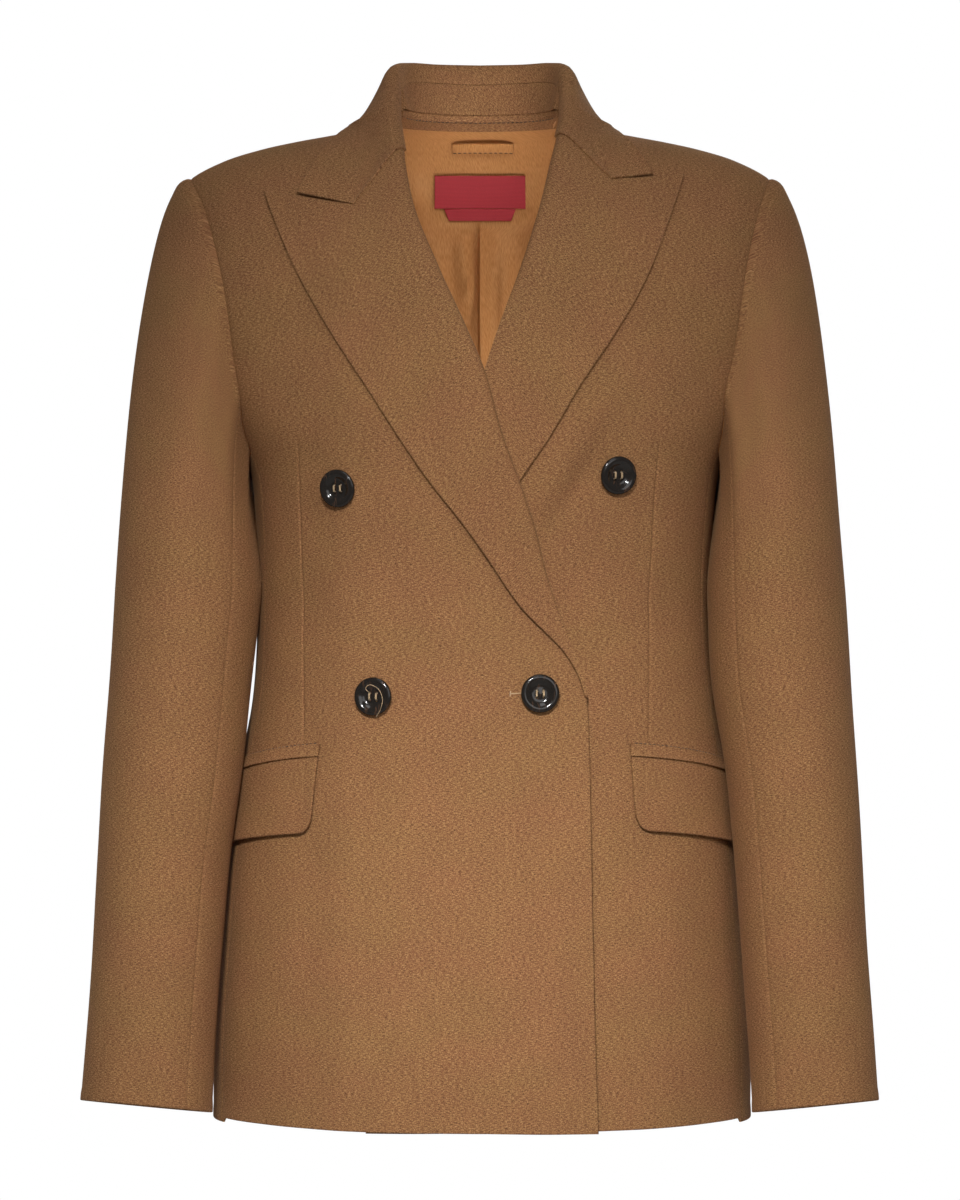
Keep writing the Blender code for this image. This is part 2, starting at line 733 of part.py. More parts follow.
def neckline(side):
    """The neck edge of the panels, from the gorge round to centre back."""
    edge = front_panel(side)[:, 0]
    front, _ = laid(edge[:, 0], edge[:, 1])
    top = back_panel(side)[-1, BACK_COLUMNS + 1:]
    back, _ = laid(top[:, 0], top[:, 1])
    line = np.concatenate([front, back])
    start = np.interp(GORGE[side].start_z, front[:, 2], np.arange(len(front)))
    places = np.append(start, np.arange(np.ceil(start), len(line)))
    return np.stack([np.interp(places, np.arange(len(line)), line[:, k]) for k in range(3)], -1)


def along(line, shares):
    """Points at shares of the length of a line."""
    lengths = np.append(0, np.cumsum(np.linalg.norm(np.diff(line, axis=0), axis=1)))
    at = shares * lengths[-1]
    return np.stack([np.interp(at, lengths, line[:, k]) for k in range(3)], -1)


def collar_shares():
    """Where the collar's columns lie from the gorge to centre back, closer at the gorge."""
    return np.linspace(0, 1, COLLAR_COLUMNS + 1) ** COLLAR_PACKED


def stand_foot(side):
    """Foot of the stand's inner face, just inside and above the neck edge."""
    edge = along(neckline(side), collar_shares())
    inward = unit(-edge * np.array([1.0, 1.0, 0.0]))
    return edge + inward * STAND_INSIDE + np.array([0.0, 0.0, STAND_UP])


def lifted(points, least):
    """Points raised off the form where they lie closer to it than the least distance."""
    turn, rise = seen(points[..., 0], points[..., 2], points[..., 1] > SHOULDER_Y)
    below, normals = laid(turn, rise)
    above = ((points - below) * normals).sum(-1, keepdims=True)
    return points + normals * np.maximum(least - above, 0)


def collar_half(side):
    """The fold, its frame, the outer edge and the neckline, from the gorge to centre back."""
    sign = 1 if side == "left" else -1
    lapel_points, _ = lapel(side)
    gorge_start = lapel_points[-1, 0]
    folds = [gorge_start] + [np.array([sign * s.fold_x, s.fold_y, s.fold_z])
                             for s in reversed(COLLAR)]
    folds = np.array(folds)
    lengths = np.append(0, np.cumsum(np.linalg.norm(np.diff(folds, axis=0), axis=1)))
    keys = lengths / lengths[-1]
    shares = collar_shares()
    fold = np.stack([smooth(keys, folds[:, k], shares) for k in range(3)], -1)
    corner = GORGE[side]
    _, corner_rise = seen(corner.corner_x, corner.corner_z)
    tilts = [-np.degrees(OVER - corner_rise)] + [s.edge_tilt for s in reversed(COLLAR)]
    outs = [abs(corner.corner_x)] + [s.edge_x for s in reversed(COLLAR)]
    into = [1.0] + [s.into for s in reversed(COLLAR)]
    tilt = smooth(keys, tilts, shares)
    edge_x = sign * smooth(keys, outs, shares)
    edge_x[-1] = 0.0
    edge, edge_normal = shoulder_point(edge_x, tilt)
    return fold, edge, edge_normal, smooth(keys, into, shares), shares


def shoulder_point(x, tilt):
    """Point and normal over the shoulder at x, tilt degrees to the back of its line."""
    rise = OVER - np.radians(np.abs(tilt))
    back = tilt > 0
    turn = turn_at(x, np.zeros_like(x), back)
    for _ in range(6):
        height = form(turn, rise)[..., 2]
        turn = turn_at(x, height, back)
    return laid(turn, rise, COLLAR_LIFT)


def collar_sections(side):
    """Sections of the turned-down collar, one for each column, from the gorge to centre back."""
    sign = 1 if side == "left" else -1
    fold, edge, edge_normal, into, shares = collar_half(side)
    foot = stand_foot(side)
    tangent = unit(np.gradient(fold, axis=0))
    inward = np.array([-sign, 0.0, 0.0])
    upward = np.array([0.0, 0.0, 1.0])
    crest = unit(upward * (1 - 0.75 * into)[:, None] + inward * into[:, None])
    crest = unit(crest - tangent * (crest * tangent).sum(-1, keepdims=True))
    outside = unit(np.cross(tangent, crest)) * sign
    sections = []
    for i in range(len(shares)):
        down = foot[i] - fold[i]
        depth = np.linalg.norm(down)
        reach = min(STAND_DROP / depth, INSIDE_MOST)
        start = fold[i] + down * reach - outside[i] * 0.8 * INSIDE * (1 - reach)
        bend = fold[i] + down * min(reach * 0.4, INSIDE_DROP / depth) - outside[i] * INSIDE
        rolled = [fold[i] - crest[i] * step + outside[i] * roll_height(step, 1.0)
                  for step in ROLL_STEPS]
        leave = rolled[-1]
        span = np.linalg.norm(edge[i] - leave)
        depart = unit(-crest[i] + 0.15 * outside[i]) * span
        arrive = edge[i] - leave
        arrive = arrive - edge_normal[i] * (arrive @ edge_normal[i])
        arrive = unit(arrive) * span
        fall = []
        for t in np.linspace(0, 1, FALL_STEPS + 1)[1:]:
            fall.append(
                (1 + 2 * t) * (1 - t) ** 2 * leave + t * (1 - t) ** 2 * depart
                + t * t * (3 - 2 * t) * edge[i] + t * t * (t - 1) * arrive
            )
        sections.append([start, bend] + rolled + fall)
    sections = np.array(sections)
    ending = collar_end(side, sections[0])
    fade = (1 - blend(0.0, GORGE_REACH, shares))[:, None, None]
    sections = sections + (ending - sections[0])[None] * fade
    sections[1:, -FALL_STEPS:] = lifted(sections[1:, -FALL_STEPS:], COLLAR_LIFT)
    return sections


def collar_end(side, section):
    """The collar's last section: along the gorge to the notch, then out to its corner."""
    gorge = GORGE[side]
    start = np.array([gorge.start_x, gorge.start_z])
    notch = np.array([gorge.notch_x, gorge.notch_z])
    corner = np.array([gorge.corner_x, gorge.corner_z])
    width = np.linalg.norm(notch - start)
    seam = start + (notch - start) * across_lapel(width, GORGE_COLUMNS)[:, None]
    beyond = np.linspace(0, 1, FALL_STEPS - GORGE_COLUMNS + 1)[1:, None]
    line = np.concatenate([seam, notch + (corner - notch) * beyond])
    inward = np.linalg.norm(line - start, axis=-1)
    turn, rise = seen(line[:, 0], line[:, 1])
    points, _ = laid(turn, rise, roll_height(inward, 1.0), on_right=side == "right")
    first = points[0] + (section[0] - section[2]) * 0.3
    second = points[0] + (section[1] - section[2]) * 0.3
    return np.concatenate([[first, second], points])


def both_halves(of):
    """A grid's right half and left half as one, meeting at centre back."""
    return np.concatenate([of("right"), of("left")[-2::-1]])


def make_collar():
    points = both_halves(collar_sections)
    normals = grid_normals(points, 1)
    wall("collar_fall", pull_in(points, "bottom top"), normals, CLOTH, "wool")
    foot = both_halves(stand_foot)
    seam = points[:, 0]
    seam = seam + unit(foot - seam) * GAP
    shares = np.linspace(0, 1, STAND_ROWS + 1)[:, None]
    stand = foot[:, None] + (seam - foot)[:, None] * shares
    stand_normals = grid_normals(stand, 1)
    stand_normals[:, -1] = normals[:, 0]
    ends = slice(STAND_ENDS, -STAND_ENDS)
    wall("collar_stand", stand[ends], stand_normals[ends], CLOTH, "wool")


# What lies inside the back

def back_grid():
    """Points and normals of both halves of the back, from the right side seam round to the left."""
    halves = []
    for side in ("right", "left"):
        grid = back_panel(side)
        halves.append(laid(grid[..., 0], grid[..., 1]))
    points = np.concatenate([halves[0][0], halves[1][0][:, -2::-1]], 1)
    normals = np.concatenate([halves[0][1], halves[1][1][:, -2::-1]], 1)
    return points, normals


def between(grid, share):
    """A row between the last two rows of a grid; 1 is the last."""
    share = np.asarray(share, float)[..., None]
    return grid[-2] * (1 - share) + grid[-1] * share


def make_lining():
    """The back lining, with the neck facing above it."""
    points, normals = back_grid()
    count = points.shape[1]
    neck = slice(BACK_COLUMNS + 1, count - BACK_COLUMNS - 1)
    shares = np.full(count, LINING_SHOULDER)
    shares[neck] = LINING_NECK
    top = between(points, shares)
    top_normals = between(normals, shares)
    lining = np.concatenate([points[1:-1], top[None]])[:, 1:-1]
    lining_normals = unit(np.concatenate([normals[1:-1], top_normals[None]]))[:, 1:-1]
    inward = CLOTH + GAP
    wall("lining_back", lining - lining_normals * inward, lining_normals, LINING, "satin")
    low = between(points, np.full(count, LINING_NECK + 0.02))[neck]
    high = points[-1][neck]
    strip = np.stack([low, high])
    strip_normals = unit(np.stack([between(normals, np.full(count, LINING_NECK))[neck],
                                   normals[-1][neck]]))
    wall("neck_facing", strip - strip_normals * inward, strip_normals, LINING, "wool")


def on_lining(x, height, lift):
    """Points in front of the back lining, seen from the front."""
    turn, rise = seen(x, height, True)
    points, normals = laid(turn, rise, -(CLOTH + GAP + LINING + lift))
    return points, -normals


def make_label():
    """A bare woven label, the tab below it and the hanger loop above."""
    lift = FACET_ROOM + LABEL_THICK
    for name, half, low, high, rows in (
        ("label", LABEL_HALF, LABEL_BOTTOM, LABEL_TOP, 3),
        ("label_tab", TAB_HALF, TAB_BOTTOM, LABEL_BOTTOM - GAP, 2),
    ):
        x, height = np.meshgrid(np.linspace(-half, half, 7), np.linspace(low, high, rows))
        points, normals = on_lining(x, height, lift)
        wall(name, points, normals, LABEL_THICK, "label")
    x, height = np.meshgrid(np.linspace(LOOP_FROM, LOOP_TO, 7), [LOOP_BOTTOM, LOOP_TOP])
    bow = LOOP_BOW * (1 - (2 * (x - LOOP_FROM) / (LOOP_TO - LOOP_FROM) - 1) ** 4)
    points, normals = on_lining(x, height, LOOP_ROOM + LINING)
    points[..., 1] -= bow
    wall("hanger_loop", points, normals, LINING, "satin")


# Pockets

def make_pockets():
    for side in ("right", "left"):
        pocket = POCKET[side]
        t = np.linspace(0, 1, FLAP_COLUMNS + 1)
        first = turn_at(pocket.front_x, pocket.top_front)
        turns = first + (pocket.back_turn - first) * t
        top = pocket.top_front + (pocket.top_back - pocket.top_front) * t ** FLAP_BEND
        bottom = pocket.bottom_front + (pocket.bottom_back - pocket.bottom_front) * t ** FLAP_BEND
        from_end = np.minimum(t, 1 - t) * FLAP_LENGTH
        within = np.maximum(FLAP_CORNER - from_end, 0)
        bottom = bottom + FLAP_CORNER - np.sqrt(FLAP_CORNER ** 2 - within ** 2)
        down = np.linspace(0, 1, FLAP_ROWS + 1)[:, None]
        cloth_on("flap_" + side, turns, top + (bottom - top) * down, side, CLOTH + ON_PANEL)
        down = np.array([[0.0], [1.0]])
        upper = top + WELT_HEIGHT + GAP
        cloth_on("welt_" + side, turns, upper - WELT_HEIGHT * down, side,
                 WELT_PROUD + ON_PANEL, WELT_PROUD)


def cloth_on(name, turns, heights, side, out, thickness=CLOTH):
    """A wall that lies on a front."""
    points, normals = laid(turns, rise_at(turns, heights), out, on_right=side == "right")
    wall(name, points, normals, thickness, "wool")


# Buttons

def button_mesh():
    """A four-hole button, its back on the plane z = 0."""
    outline = bmesh.new()
    points = [outline.verts.new((r * MM, 0, z * MM)) for r, z in BUTTON_PROFILE]
    for a, b in zip(points, points[1:]):
        outline.edges.new((a, b))
    bmesh.ops.spin(outline, geom=outline.verts[:] + outline.edges[:], cent=(0, 0, 0),
                   axis=(0, 0, 1), angle=2 * np.pi, steps=BUTTON_STEPS)
    bmesh.ops.remove_doubles(outline, verts=outline.verts, dist=1e-6)
    bmesh.ops.recalc_face_normals(outline, faces=outline.faces)
    return outline


def drilled(name):
    """A button with its four thread holes cut."""
    blank = add_object(name, button_mesh(), "horn")
    cut = bmesh.new()
    for x in (-1, 1):
        for y in (-1, 1):
            place = Matrix.Translation((x * BUTTON_HOLE_SPACING * MM,
                                        y * BUTTON_HOLE_SPACING * MM, 1 * MM))
            bmesh.ops.create_cone(cut, cap_ends=True, segments=8, radius1=BUTTON_HOLE * MM,
                                  radius2=BUTTON_HOLE * MM, depth=6 * MM, matrix=place)
    mesh = bpy.data.meshes.new(name + "_holes")
    cut.to_mesh(mesh)
    cut.free()
    cutter = bpy.data.objects.new(name + "_holes", mesh)
    cutter.hide_render = True
    cutter.display_type = "WIRE"
    cutters.objects.link(cutter)
    holes = blank.modifiers.new("Holes", "BOOLEAN")
    holes.object = cutter
    holes.operation = "DIFFERENCE"
    holes.solver = "EXACT"
    return blank, cutter


def make_buttons():
    for button in BUTTONS:
        turn, rise = seen(button.x, button.height)
        point, normal = laid(turn, rise, BUTTON_SEAT, on_right=button.side == "right")
        place = Vector(normal).to_track_quat("Z", "Y").to_matrix().to_4x4()
        place.translation = Vector(point * MM)
        for made in drilled(button.name):
            made.matrix_world = place


def clear_scene():
    for old in list(bpy.data.objects):
        bpy.data.objects.remove(old, do_unlink=True)


clear_scene()
jacket = bpy.data.collections.new("Blazer")
cutters = bpy.data.collections.new("Cutters")
bpy.context.scene.collection.children.link(jacket)
bpy.context.scene.collection.children.link(cutters)
make_fronts()
make_sides()
make_backs()
for arm in ("right", "left"):
    make_sleeve(arm)
make_lapels()
make_collar()
make_lining()
make_label()
make_pockets()
make_buttons()
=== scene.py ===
"""Double breasted blazer with peak lapels: the finished cloth, lining, buttons and stitching.

Every panel is a thin wall of cloth laid on one form: a torso whose level sections are listed in
BODY and whose top rounds over to the shoulder line in SHOULDER.  A place on the form is given by
its turn, in degrees round from centre front, + towards the wearer's left, and its rise, in radians
of the bend over the shoulder: pi/2 is on the shoulder line and below zero is straight wall.
Lengths in the tables are in millimetres; the sizes in the sidebar are in metres.
"""

from collections import namedtuple

import bmesh
import bpy
import numpy as np
from mathutils import Matrix, Vector


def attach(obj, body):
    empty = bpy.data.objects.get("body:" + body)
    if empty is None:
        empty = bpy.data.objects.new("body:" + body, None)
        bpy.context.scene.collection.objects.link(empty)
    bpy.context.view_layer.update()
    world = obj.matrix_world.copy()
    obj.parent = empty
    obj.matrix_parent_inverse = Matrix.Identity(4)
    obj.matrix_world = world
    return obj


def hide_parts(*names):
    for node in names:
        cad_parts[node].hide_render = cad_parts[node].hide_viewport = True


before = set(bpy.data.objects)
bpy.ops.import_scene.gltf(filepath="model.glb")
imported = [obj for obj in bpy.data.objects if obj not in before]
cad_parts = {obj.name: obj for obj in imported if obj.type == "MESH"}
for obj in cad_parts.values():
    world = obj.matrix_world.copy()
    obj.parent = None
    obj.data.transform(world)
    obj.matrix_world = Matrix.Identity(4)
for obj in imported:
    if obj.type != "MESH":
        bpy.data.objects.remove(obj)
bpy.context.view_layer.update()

bl_info = {
    "name": "Double breasted blazer",
    "version": (1, 0, 0),
    "blender": (4, 5, 0),
    "location": "3D View > Sidebar > Blazer",
    "description": "Cloth, lining, buttons and stitching of a double breasted blazer",
    "category": "Object",
}

BODY_NAME = "root"

MM = 0.001
# Thickness of wool and lining, the gap between two layers, and how far edges go in at a seam:
# below zero they lap.
CLOTH = 1.8
LINING = 1.0
GAP = 0.3
SEAM = -0.25
# The rise of the shoulder line.
OVER = np.pi / 2

# Heights and turns of the edges of the panels, and the neck's half width and its height behind.
HEM = -656.0
HEM_DIP = 3.0
BREAK = -350.0
UNDERARM = -206.0
UNDERARM_DIP = 12.0
NECK_HALF = 58.0
NECK_BACK = 27.0
SEAM_FRONT = 71.5
SEAM_BACK = 112.0

# How finely the panels are divided.
LOW_ROWS = 60
WAIST_ROWS = 30
SHOULDER_ROWS = 48
FRONT_COLUMNS = 60
SIDE_COLUMNS = 24
BACK_COLUMNS = 28
NECK_COLUMNS = 16
ARMHOLE_ROWS = slice(LOW_ROWS + WAIST_ROWS, None)

# How square the level sections are, and the bends over the shoulder to the front and back.
SQUARE = 2.3
SHOULDER_Y = 4.0
FRONT_ROUND = 125.0
BACK_ROUND = 75.0
BACK_CLIMB = 1.45
SIDES = {"right": -1, "left": 1}


def table(names, *rows):
    """A table with named columns."""
    row = namedtuple("Row", names)
    return tuple(row(*values) for values in rows)


BODY = table("height half_width front back shift",
    (-657, 182.3, 121, 113, 1.3), (-600, 182.1, 119, 112, 1.2), (-540, 177.7, 116, 110, 1.1),
    (-477, 172.6, 112, 106, 1.6), (-420, 165.5, 108, 99, 2), (-375, 158, 106, 93, 3.2),
    (-335, 154, 105, 90, 2.5), (-290, 153.6, 107, 90, 2.5), (-250, 155.4, 111, 93, 3.1),
    (-215, 160.5, 115, 98, 3.2), (-185, 176, 116, 101, 2), (-155, 188, 115, 104, 1.5),
    (-120, 195.5, 113, 106, 1), (-75, 200, 109, 106, 1), (-20, 204, 103, 104, 1), (45, 208, 97, 100, 1))

SHOULDER = table("out height",
    (0, 37), (30, 33.5), (52, 27.5), (75, 17.5), (91, 11.8), (103, 9.5), (125, 5.5), (150, 0),
    (175, -8), (198, -20.5), (215, -36))

# How far out each side's armhole lies, seen from the front and from the back.
ARMHOLE = table("height right left back",
    (-167, 160.7, 163.5, 161.5), (-144, 164.5, 169, 167), (-113, 168.5, 174, 172.5),
    (-81, 174.6, 179, 178.5), (-57, 181.1, 184.5, 184), (-37, 188.1, 190.5, 190),
    (-19, 197.1, 197.1, 197.1))

# Lines seen from the front: x at each height, for the right front on top and the left below it.
LINE = "height right left"
ROLL = table(LINE,
    (-372, 69.2, -66.5), (-362, 67.7, -64), (-352, 64.5, -57.5), (-318, 52.3, -46), (-291, 43.9, -37.5),
    (-258, 36, -29), (-227, 25.6, -19), (-195, 14.2, -8), (-154, 2.6, 3.2), (-125, -9.8, 12.8),
    (-86, -27.5, 27), (-46, -43.3, 39.3), (-6.5, -51, 48.8), (3.5, -52.5, 51.5), (15, -55.5, 55.5),
    (27, -58, 58))
LAPEL_EDGE = table(LINE,
    (-371, 67.3, -64), (-360, 64.4, -59), (-345, 57, -51), (-308, 24.3, -27), (-280, 6, -6),
    (-253, -13, 10), (-227.5, -32.7, 26.2), (-199, -52.3, 45.3), (-162, -76, 67.5), (-130, -97, 89),
    (-96, -117.3, 108.5), (-62.4, -132.7, 122.1), (-34.3, -143.5, 132.3), (-22.7, -147, 136))
FRONT_EDGE = table(LINE,
    (-660, 76.8, -75), (-600, 74.7, -74), (-535, 73.4, -73), (-470, 72.2, -72), (-411, 71, -71),
    (-378, 69.7, -69), (-362, 67.7, -64), (-352, 64.5, -57.5))

# The ends of the gorge seam and the points of collar and lapel, seen from the front.
Gorge = namedtuple("Gorge", "start notch corner tip")
GORGE = {
    "right": Gorge((-51.0, -6.5), (-82.2, -46.2), (-120.7, -36.6), (-143.5, -34.3)),
    "left": Gorge((51.5, 3.5), (86.0, -28.5), (115.0, -23.6), (136.0, -22.7)),
}
# The height of the lapel's foot, and how finely lapel and gorge are divided.
LAPEL_END = -371.0
LAPEL_ROWS = 84
GORGE_COLUMNS = 12
TOP_EDGE_COLUMNS = 14

# Height of a rolled edge above the cloth it lies on, at each distance in from the fold.
ROLL_PROFILE = table("inward height",
    (0, -1), (0.7, 1.5), (2.6, 3.7), (6.5, 5.2), (15, 5), (30, 3.9), (50, 3.1), (200, 2.8))
ROLL_STEPS = (0.0, 0.25, 0.7, 1.5, 2.6, 4.4, 6.5)
# The same steps where the lapel is narrow, as shares of its width.
NARROW_STEPS = (0.0, 0.03, 0.08, 0.13, 0.18, 0.26, 0.34)
# Between these heights each lapel's fold goes from pressed flat to round.
ROUNDS_OFF = {"right": (-348.0, -250.0), "left": (-132.0, -70.0)}
# Height of a pressed edge, and how far a front's edge lies inside the roll, up to where that
# fades out between two heights.
FLAT_HEIGHT = 2.8
EDGE_INSET = 3.4
INSET_ENDS = (8.0, 25.5)

# The right front rises to clear the layers of the left front below it.
OVERLAP = 5.2
OVERLAP_SIDE = (-118.0, -80.0)
OVERLAP_TOP = (-40.0, -110.0)

# The collar from centre back to the gorge: the crest of its fold, and its outer edge as a
# distance out and a tilt in degrees from the shoulder line, + to the back.
COLLAR = table("fold_x fold_y fold_z edge_x edge_tilt into",
    (0, 57, 62.5, 0, 52, 0), (30, 52, 62.5, 45, 44, 0), (49.5, 37, 62, 77, 29, 0),
    (57.5, 14, 57.5, 89.5, 9, 0.1), (57.5, -10, 41, 93.5, -7, 0.35), (55, -38, 19, 99.5, -20, 0.8))
# How finely it is divided, how closely at the gorge, and how far it stands off the shoulder.
COLLAR_COLUMNS = 56
COLLAR_PACKED = 1.25
FALL_STEPS = 24
COLLAR_LIFT = 2.0
# The stand meets the collar this far below the fold, and the neck edge this far inside it.
STAND_DROP = 13.0
STAND_INSIDE = 2.3
STAND_UP = 1.3
STAND_ROWS = 6
STAND_ENDS = 17
# The part of the collar that turns down inside to the stand.
INSIDE = 2.0
INSIDE_DROP = 3.0
INSIDE_MOST = 0.85
# How far along from the gorge the collar takes on the shape of its end there.
GORGE_REACH = 0.3
# Where the lining ends between the last two rows of the back, at the neck and at the shoulder.
LINING_NECK = 0.5
LINING_SHOULDER = 0.97

# The sleeve's level rings: how far out it reaches, its depth and the middle of that.
SLEEVE = table("height outer inner_right inner_left depth middle",
    (-645, 265.8, 178.5, 181.5, 41, -68), (-600, 262.7, 176.3, 178.6, 43, -65),
    (-540, 258.6, 172.3, 174.5, 46, -60), (-480, 255.7, 167.4, 170.2, 49.5, -53),
    (-420, 252.8, 158.8, 164.6, 53, -46), (-360, 249.2, 153.4, 155.2, 56, -37),
    (-300, 245.8, 147.2, 152.6, 58.5, -31))
# The top of those rings, the cuff's height outside and inside and its pitch from front to back,
# how finely the sleeve is divided, and the columns and degrees of its under piece.
SLEEVE_TOP = -300.0
CUFF_OUTER = -639.0
CUFF_INNER = -647.0
CUFF_PITCH = 5.0
CAP_ROWS = 44
ARM_ROWS = 76
UNDER_FROM = 42
UNDER_TO = 84
UNDER_SPAN = 60.0

# How the sleeve leaves the armhole and comes down to its rings, over the top and under the arm.
Cap = namedtuple("Cap", "out down reach")
CAP_TOP = Cap(100.0, 14.0, 250.0)
CAP_UNDER = Cap(2.0, 54.0, 80.0)
CAP_FORWARD = 18.0

# Pockets, as turns round the body and heights.
Pocket = namedtuple("Pocket", "front_x back_turn top_front top_back bottom_front bottom_back")
POCKET = {
    "right": Pocket(-105.5, -96.0, -409.0, -428.0, -460.5, -476.0),
    "left": Pocket(99.0, 94.0, -408.5, -428.0, -458.5, -476.0),
}
# The flap's corner, length, bend and curl, and how far it and the jet lie off the front.
FLAP_COLUMNS = 60
FLAP_ROWS = 18
FLAP_CORNER = 9.0
FLAP_LENGTH = 130.0
FLAP_BEND = 1.3
FLAP_CURL = 0.9
ON_PANEL = 0.9
WELT_HEIGHT = 7.5
WELT_PROUD = 1.2
WELT_CURL = 1.3
WELT_LAP = 1.0
WELT_ROWS = 5

# Radius of a button's holes, their place out from its middle, its facets and its seat.
BUTTON_HOLE = 1.1
BUTTON_HOLE_SPACING = 2.3
BUTTON_STEPS = 64
BUTTON_SEAT = 0.6
# Profile of a button from its face's centre, over the rim and back under, as radius and height.
BUTTON_PROFILE = (
    (0.0, 2.3), (6.2, 2.3), (8.2, 3.6), (10.6, 4.3), (12.2, 3.7), (12.7, 2.4), (11.4, 0.9),
    (7.0, 0.0), (0.0, 0.0),
)
BUTTONS = table("name x height side",
    ("button_top_right", -90.8, -231.7, "right"),
    ("button_low_right", -68.4, -369.8, "right"),
    ("button_fastened", 38.7, -367.7, "right"),
    ("button_top_left", 90.2, -223.7, "left"))

# The label, its tab and the hanger loop, seen from the front, and their room over the lining.
LABEL_HALF = 32.5
LABEL_TOP = -6.5
LABEL_BOTTOM = -30.5
TAB_HALF = 25.5
TAB_BOTTOM = -40.0
TAB_TAPER = 0.14
LABEL_THICK = 0.8
FACET_ROOM = 2.0
LOOP_FROM, LOOP_TO = -20.0, 24.0
LOOP_TOP, LOOP_BOTTOM = 14.5, 9.0
LOOP_BOW = 4.0
LOOP_ROOM = 1.4

# The seam of each front dart, seen from the front.
DART = table(LINE,
    (-399, -117.4, 112.5), (-306, -118, 112.7), (-240, -120, 115.8), (-194, -121, 119.6))
# Heights over which the dart fades in and out.
DART_FOOT = (-402, -396)
DART_HEAD = (-216, -194)
# Its groove's depth and width, with close columns at these distances.
DART_DEPTH = 0.9
DART_WIDTH = 1.1
DART_STEPS = (0.35, 0.8, 1.5, 2.6)

# Each edge of a grid: its axis, its place and the place beside it.
EDGES = {"bottom": (0, 0, 1), "top": (0, -1, -2), "first": (1, 0, 1), "last": (1, -1, -2)}
# Close rows and columns by an edge, and how far the cloth swells over the turned-in edge there.
EDGE_STEPS = (0.12, 0.35, 0.7, 1.2, 2.2)
SWELL_WIDTH = (4.5, 8.0)
# Width of a pressed seam, of the wool turned in at hems and behind the front edge, and the size
# of the sleeve head's rope.
SEAM_WIDTH = 1.3
WOOL_INSIDE = 38.0
FACING_WIDTH = 75.0
ROPE_HEIGHT = 1.3
ROPE_OUT = 8.0
ROPE_WIDTH = 7.0

# Where the rows of stitches lie: how far out of the cloth and below its edge.
STAND_ROW_OUT = 0.35
STAND_ROW_DOWN = 1.2
FACING_ROW_OUT = 0.4
LOOP_ROW_OUT = 0.3
# The welt's row is real stitching. It is set far out so that its dark thread also paints the shadow of
# the crease along the jet's top edge.
WELT_ROW_SHADOW_OUT = 1.1
# Radius of the thread in the buttonhole, through a button and at its loose end.
HOLE_THREAD = 0.34
THREAD = 0.28
STRAY_THREAD = 0.22

# Soft folds, as lines seen from the front or from the back, with their half width and height.
CREASE = "x_from z_from x_to z_to width height"
FRONT_CREASES = table(CREASE,
    (72, -190, 26, -262, 13, 2.4), (96, -176, 44, -268, 11, -2.4), (36, -372, -58, -404, 12, 0.8),
    (30, -352, -66, -322, 14, 0.7), (30, -384, -22, -452, 12, -0.7), (50, -388, 62, -470, 10, -0.8),
    (-96, -400, -104, -900, 22, 1.2), (44, -420, 38, -900, 18, 1.6), (4, -430, -4, -900, 24, -1.6),
    (-44, -440, -52, -900, 22, 0.9), (104, -470, 112, -900, 18, 1.3), (150, -460, 160, -900, 16, -1.4),
    (-146, -470, -152, -900, 16, -1.2), (-124, -90, -140, -190, 12, -1.2),
    (136, -84, 150, -184, 12, -1.2), (-96, -290, -150, -330, 14, -0.7), (88, -286, 146, -322, 13, -0.7),
    (-60, -250, -128, -226, 15, 0.6))
BACK_CREASES = table(CREASE,
    (-60, -70, -140, -190, 16, -1.4), (66, -78, 142, -196, 15, -1.3), (-30, -300, -118, -318, 16, -0.9),
    (24, -312, 122, -300, 15, -0.8), (-50, -420, -62, -900, 20, 1.5), (58, -430, 66, -900, 21, 1.3),
    (8, -440, 10, -900, 22, -1.1), (-120, -460, -128, -900, 18, -1.2), (122, -450, 126, -900, 18, -1.1),
    (-80, -28, 84, -34, 13, -0.6))
SLEEVE_FRONT_CREASES = table(CREASE,
    (-196, -330, -232, -352, 9, -1), (-168, -362, -214, -392, 10, 1.2),
    (-172, -300, -206, -326, 9, 0.9), (-224, -90, -214, -250, 14, -1.2),
    (-236, -420, -230, -620, 16, 0.9), (198, -326, 232, -344, 9, -0.9), (172, -356, 216, -388, 10, 1.1),
    (170, -292, 206, -318, 9, 0.8), (226, -90, 216, -240, 14, -1.2), (238, -430, 230, -620, 16, 0.9))
SLEEVE_BACK_CREASES = table(CREASE,
    (-186, -330, -240, -356, 10, 1.2), (-190, -362, -244, -380, 11, -1.1),
    (-214, -120, -204, -260, 15, -1), (188, -322, 240, -350, 10, 1.1), (192, -356, 244, -372, 11, -1.1),
    (216, -110, 206, -250, 15, -1.1))
# Folds of the satin back lining, seen from the front: only inward, clear of the cloth behind.
LINING_CREASES = table(CREASE,
    (-14, -40, -8, -110, 6, 3.4), (-26, -30, -34, -150, 9, 2.6), (16, -44, 22, -170, 8, 2.6),
    (34, -22, 44, -120, 9, 2.2), (-44, 0, -60, -140, 12, 2), (6, -90, 12, -300, 9, 2.4),
    (-18, -120, -22, -330, 11, 2.2), (60, -40, 84, -260, 16, 2), (-78, -60, -96, -280, 16, 2),
    (-10, -300, -12, -700, 16, 1.8), (48, -280, 56, -700, 18, 1.6), (-60, -260, -66, -700, 18, 1.6))
# How full the cloth and the satin hang in their folds.
FRONT_FULLNESS = 1.4
LINING_FULLNESS = 2.6
# The centre pleat: its top, height, width and close columns.
PLEAT_TOP = -34.0
PLEAT_HEIGHT = 6.5
PLEAT_WIDTH = 11.0
PLEAT_STEPS = (0.06, 0.18, 0.32, 0.5)

# The camera's picture: its sensor in millimetres, and in metres how high a piece of the blazer's
# plane it shows and where the middle of that is.
SENSOR = 36.0
VIEW_HEIGHT = 0.816
VIEW_MIDDLE = -0.306
FLOOR_RADIUS = 3.6

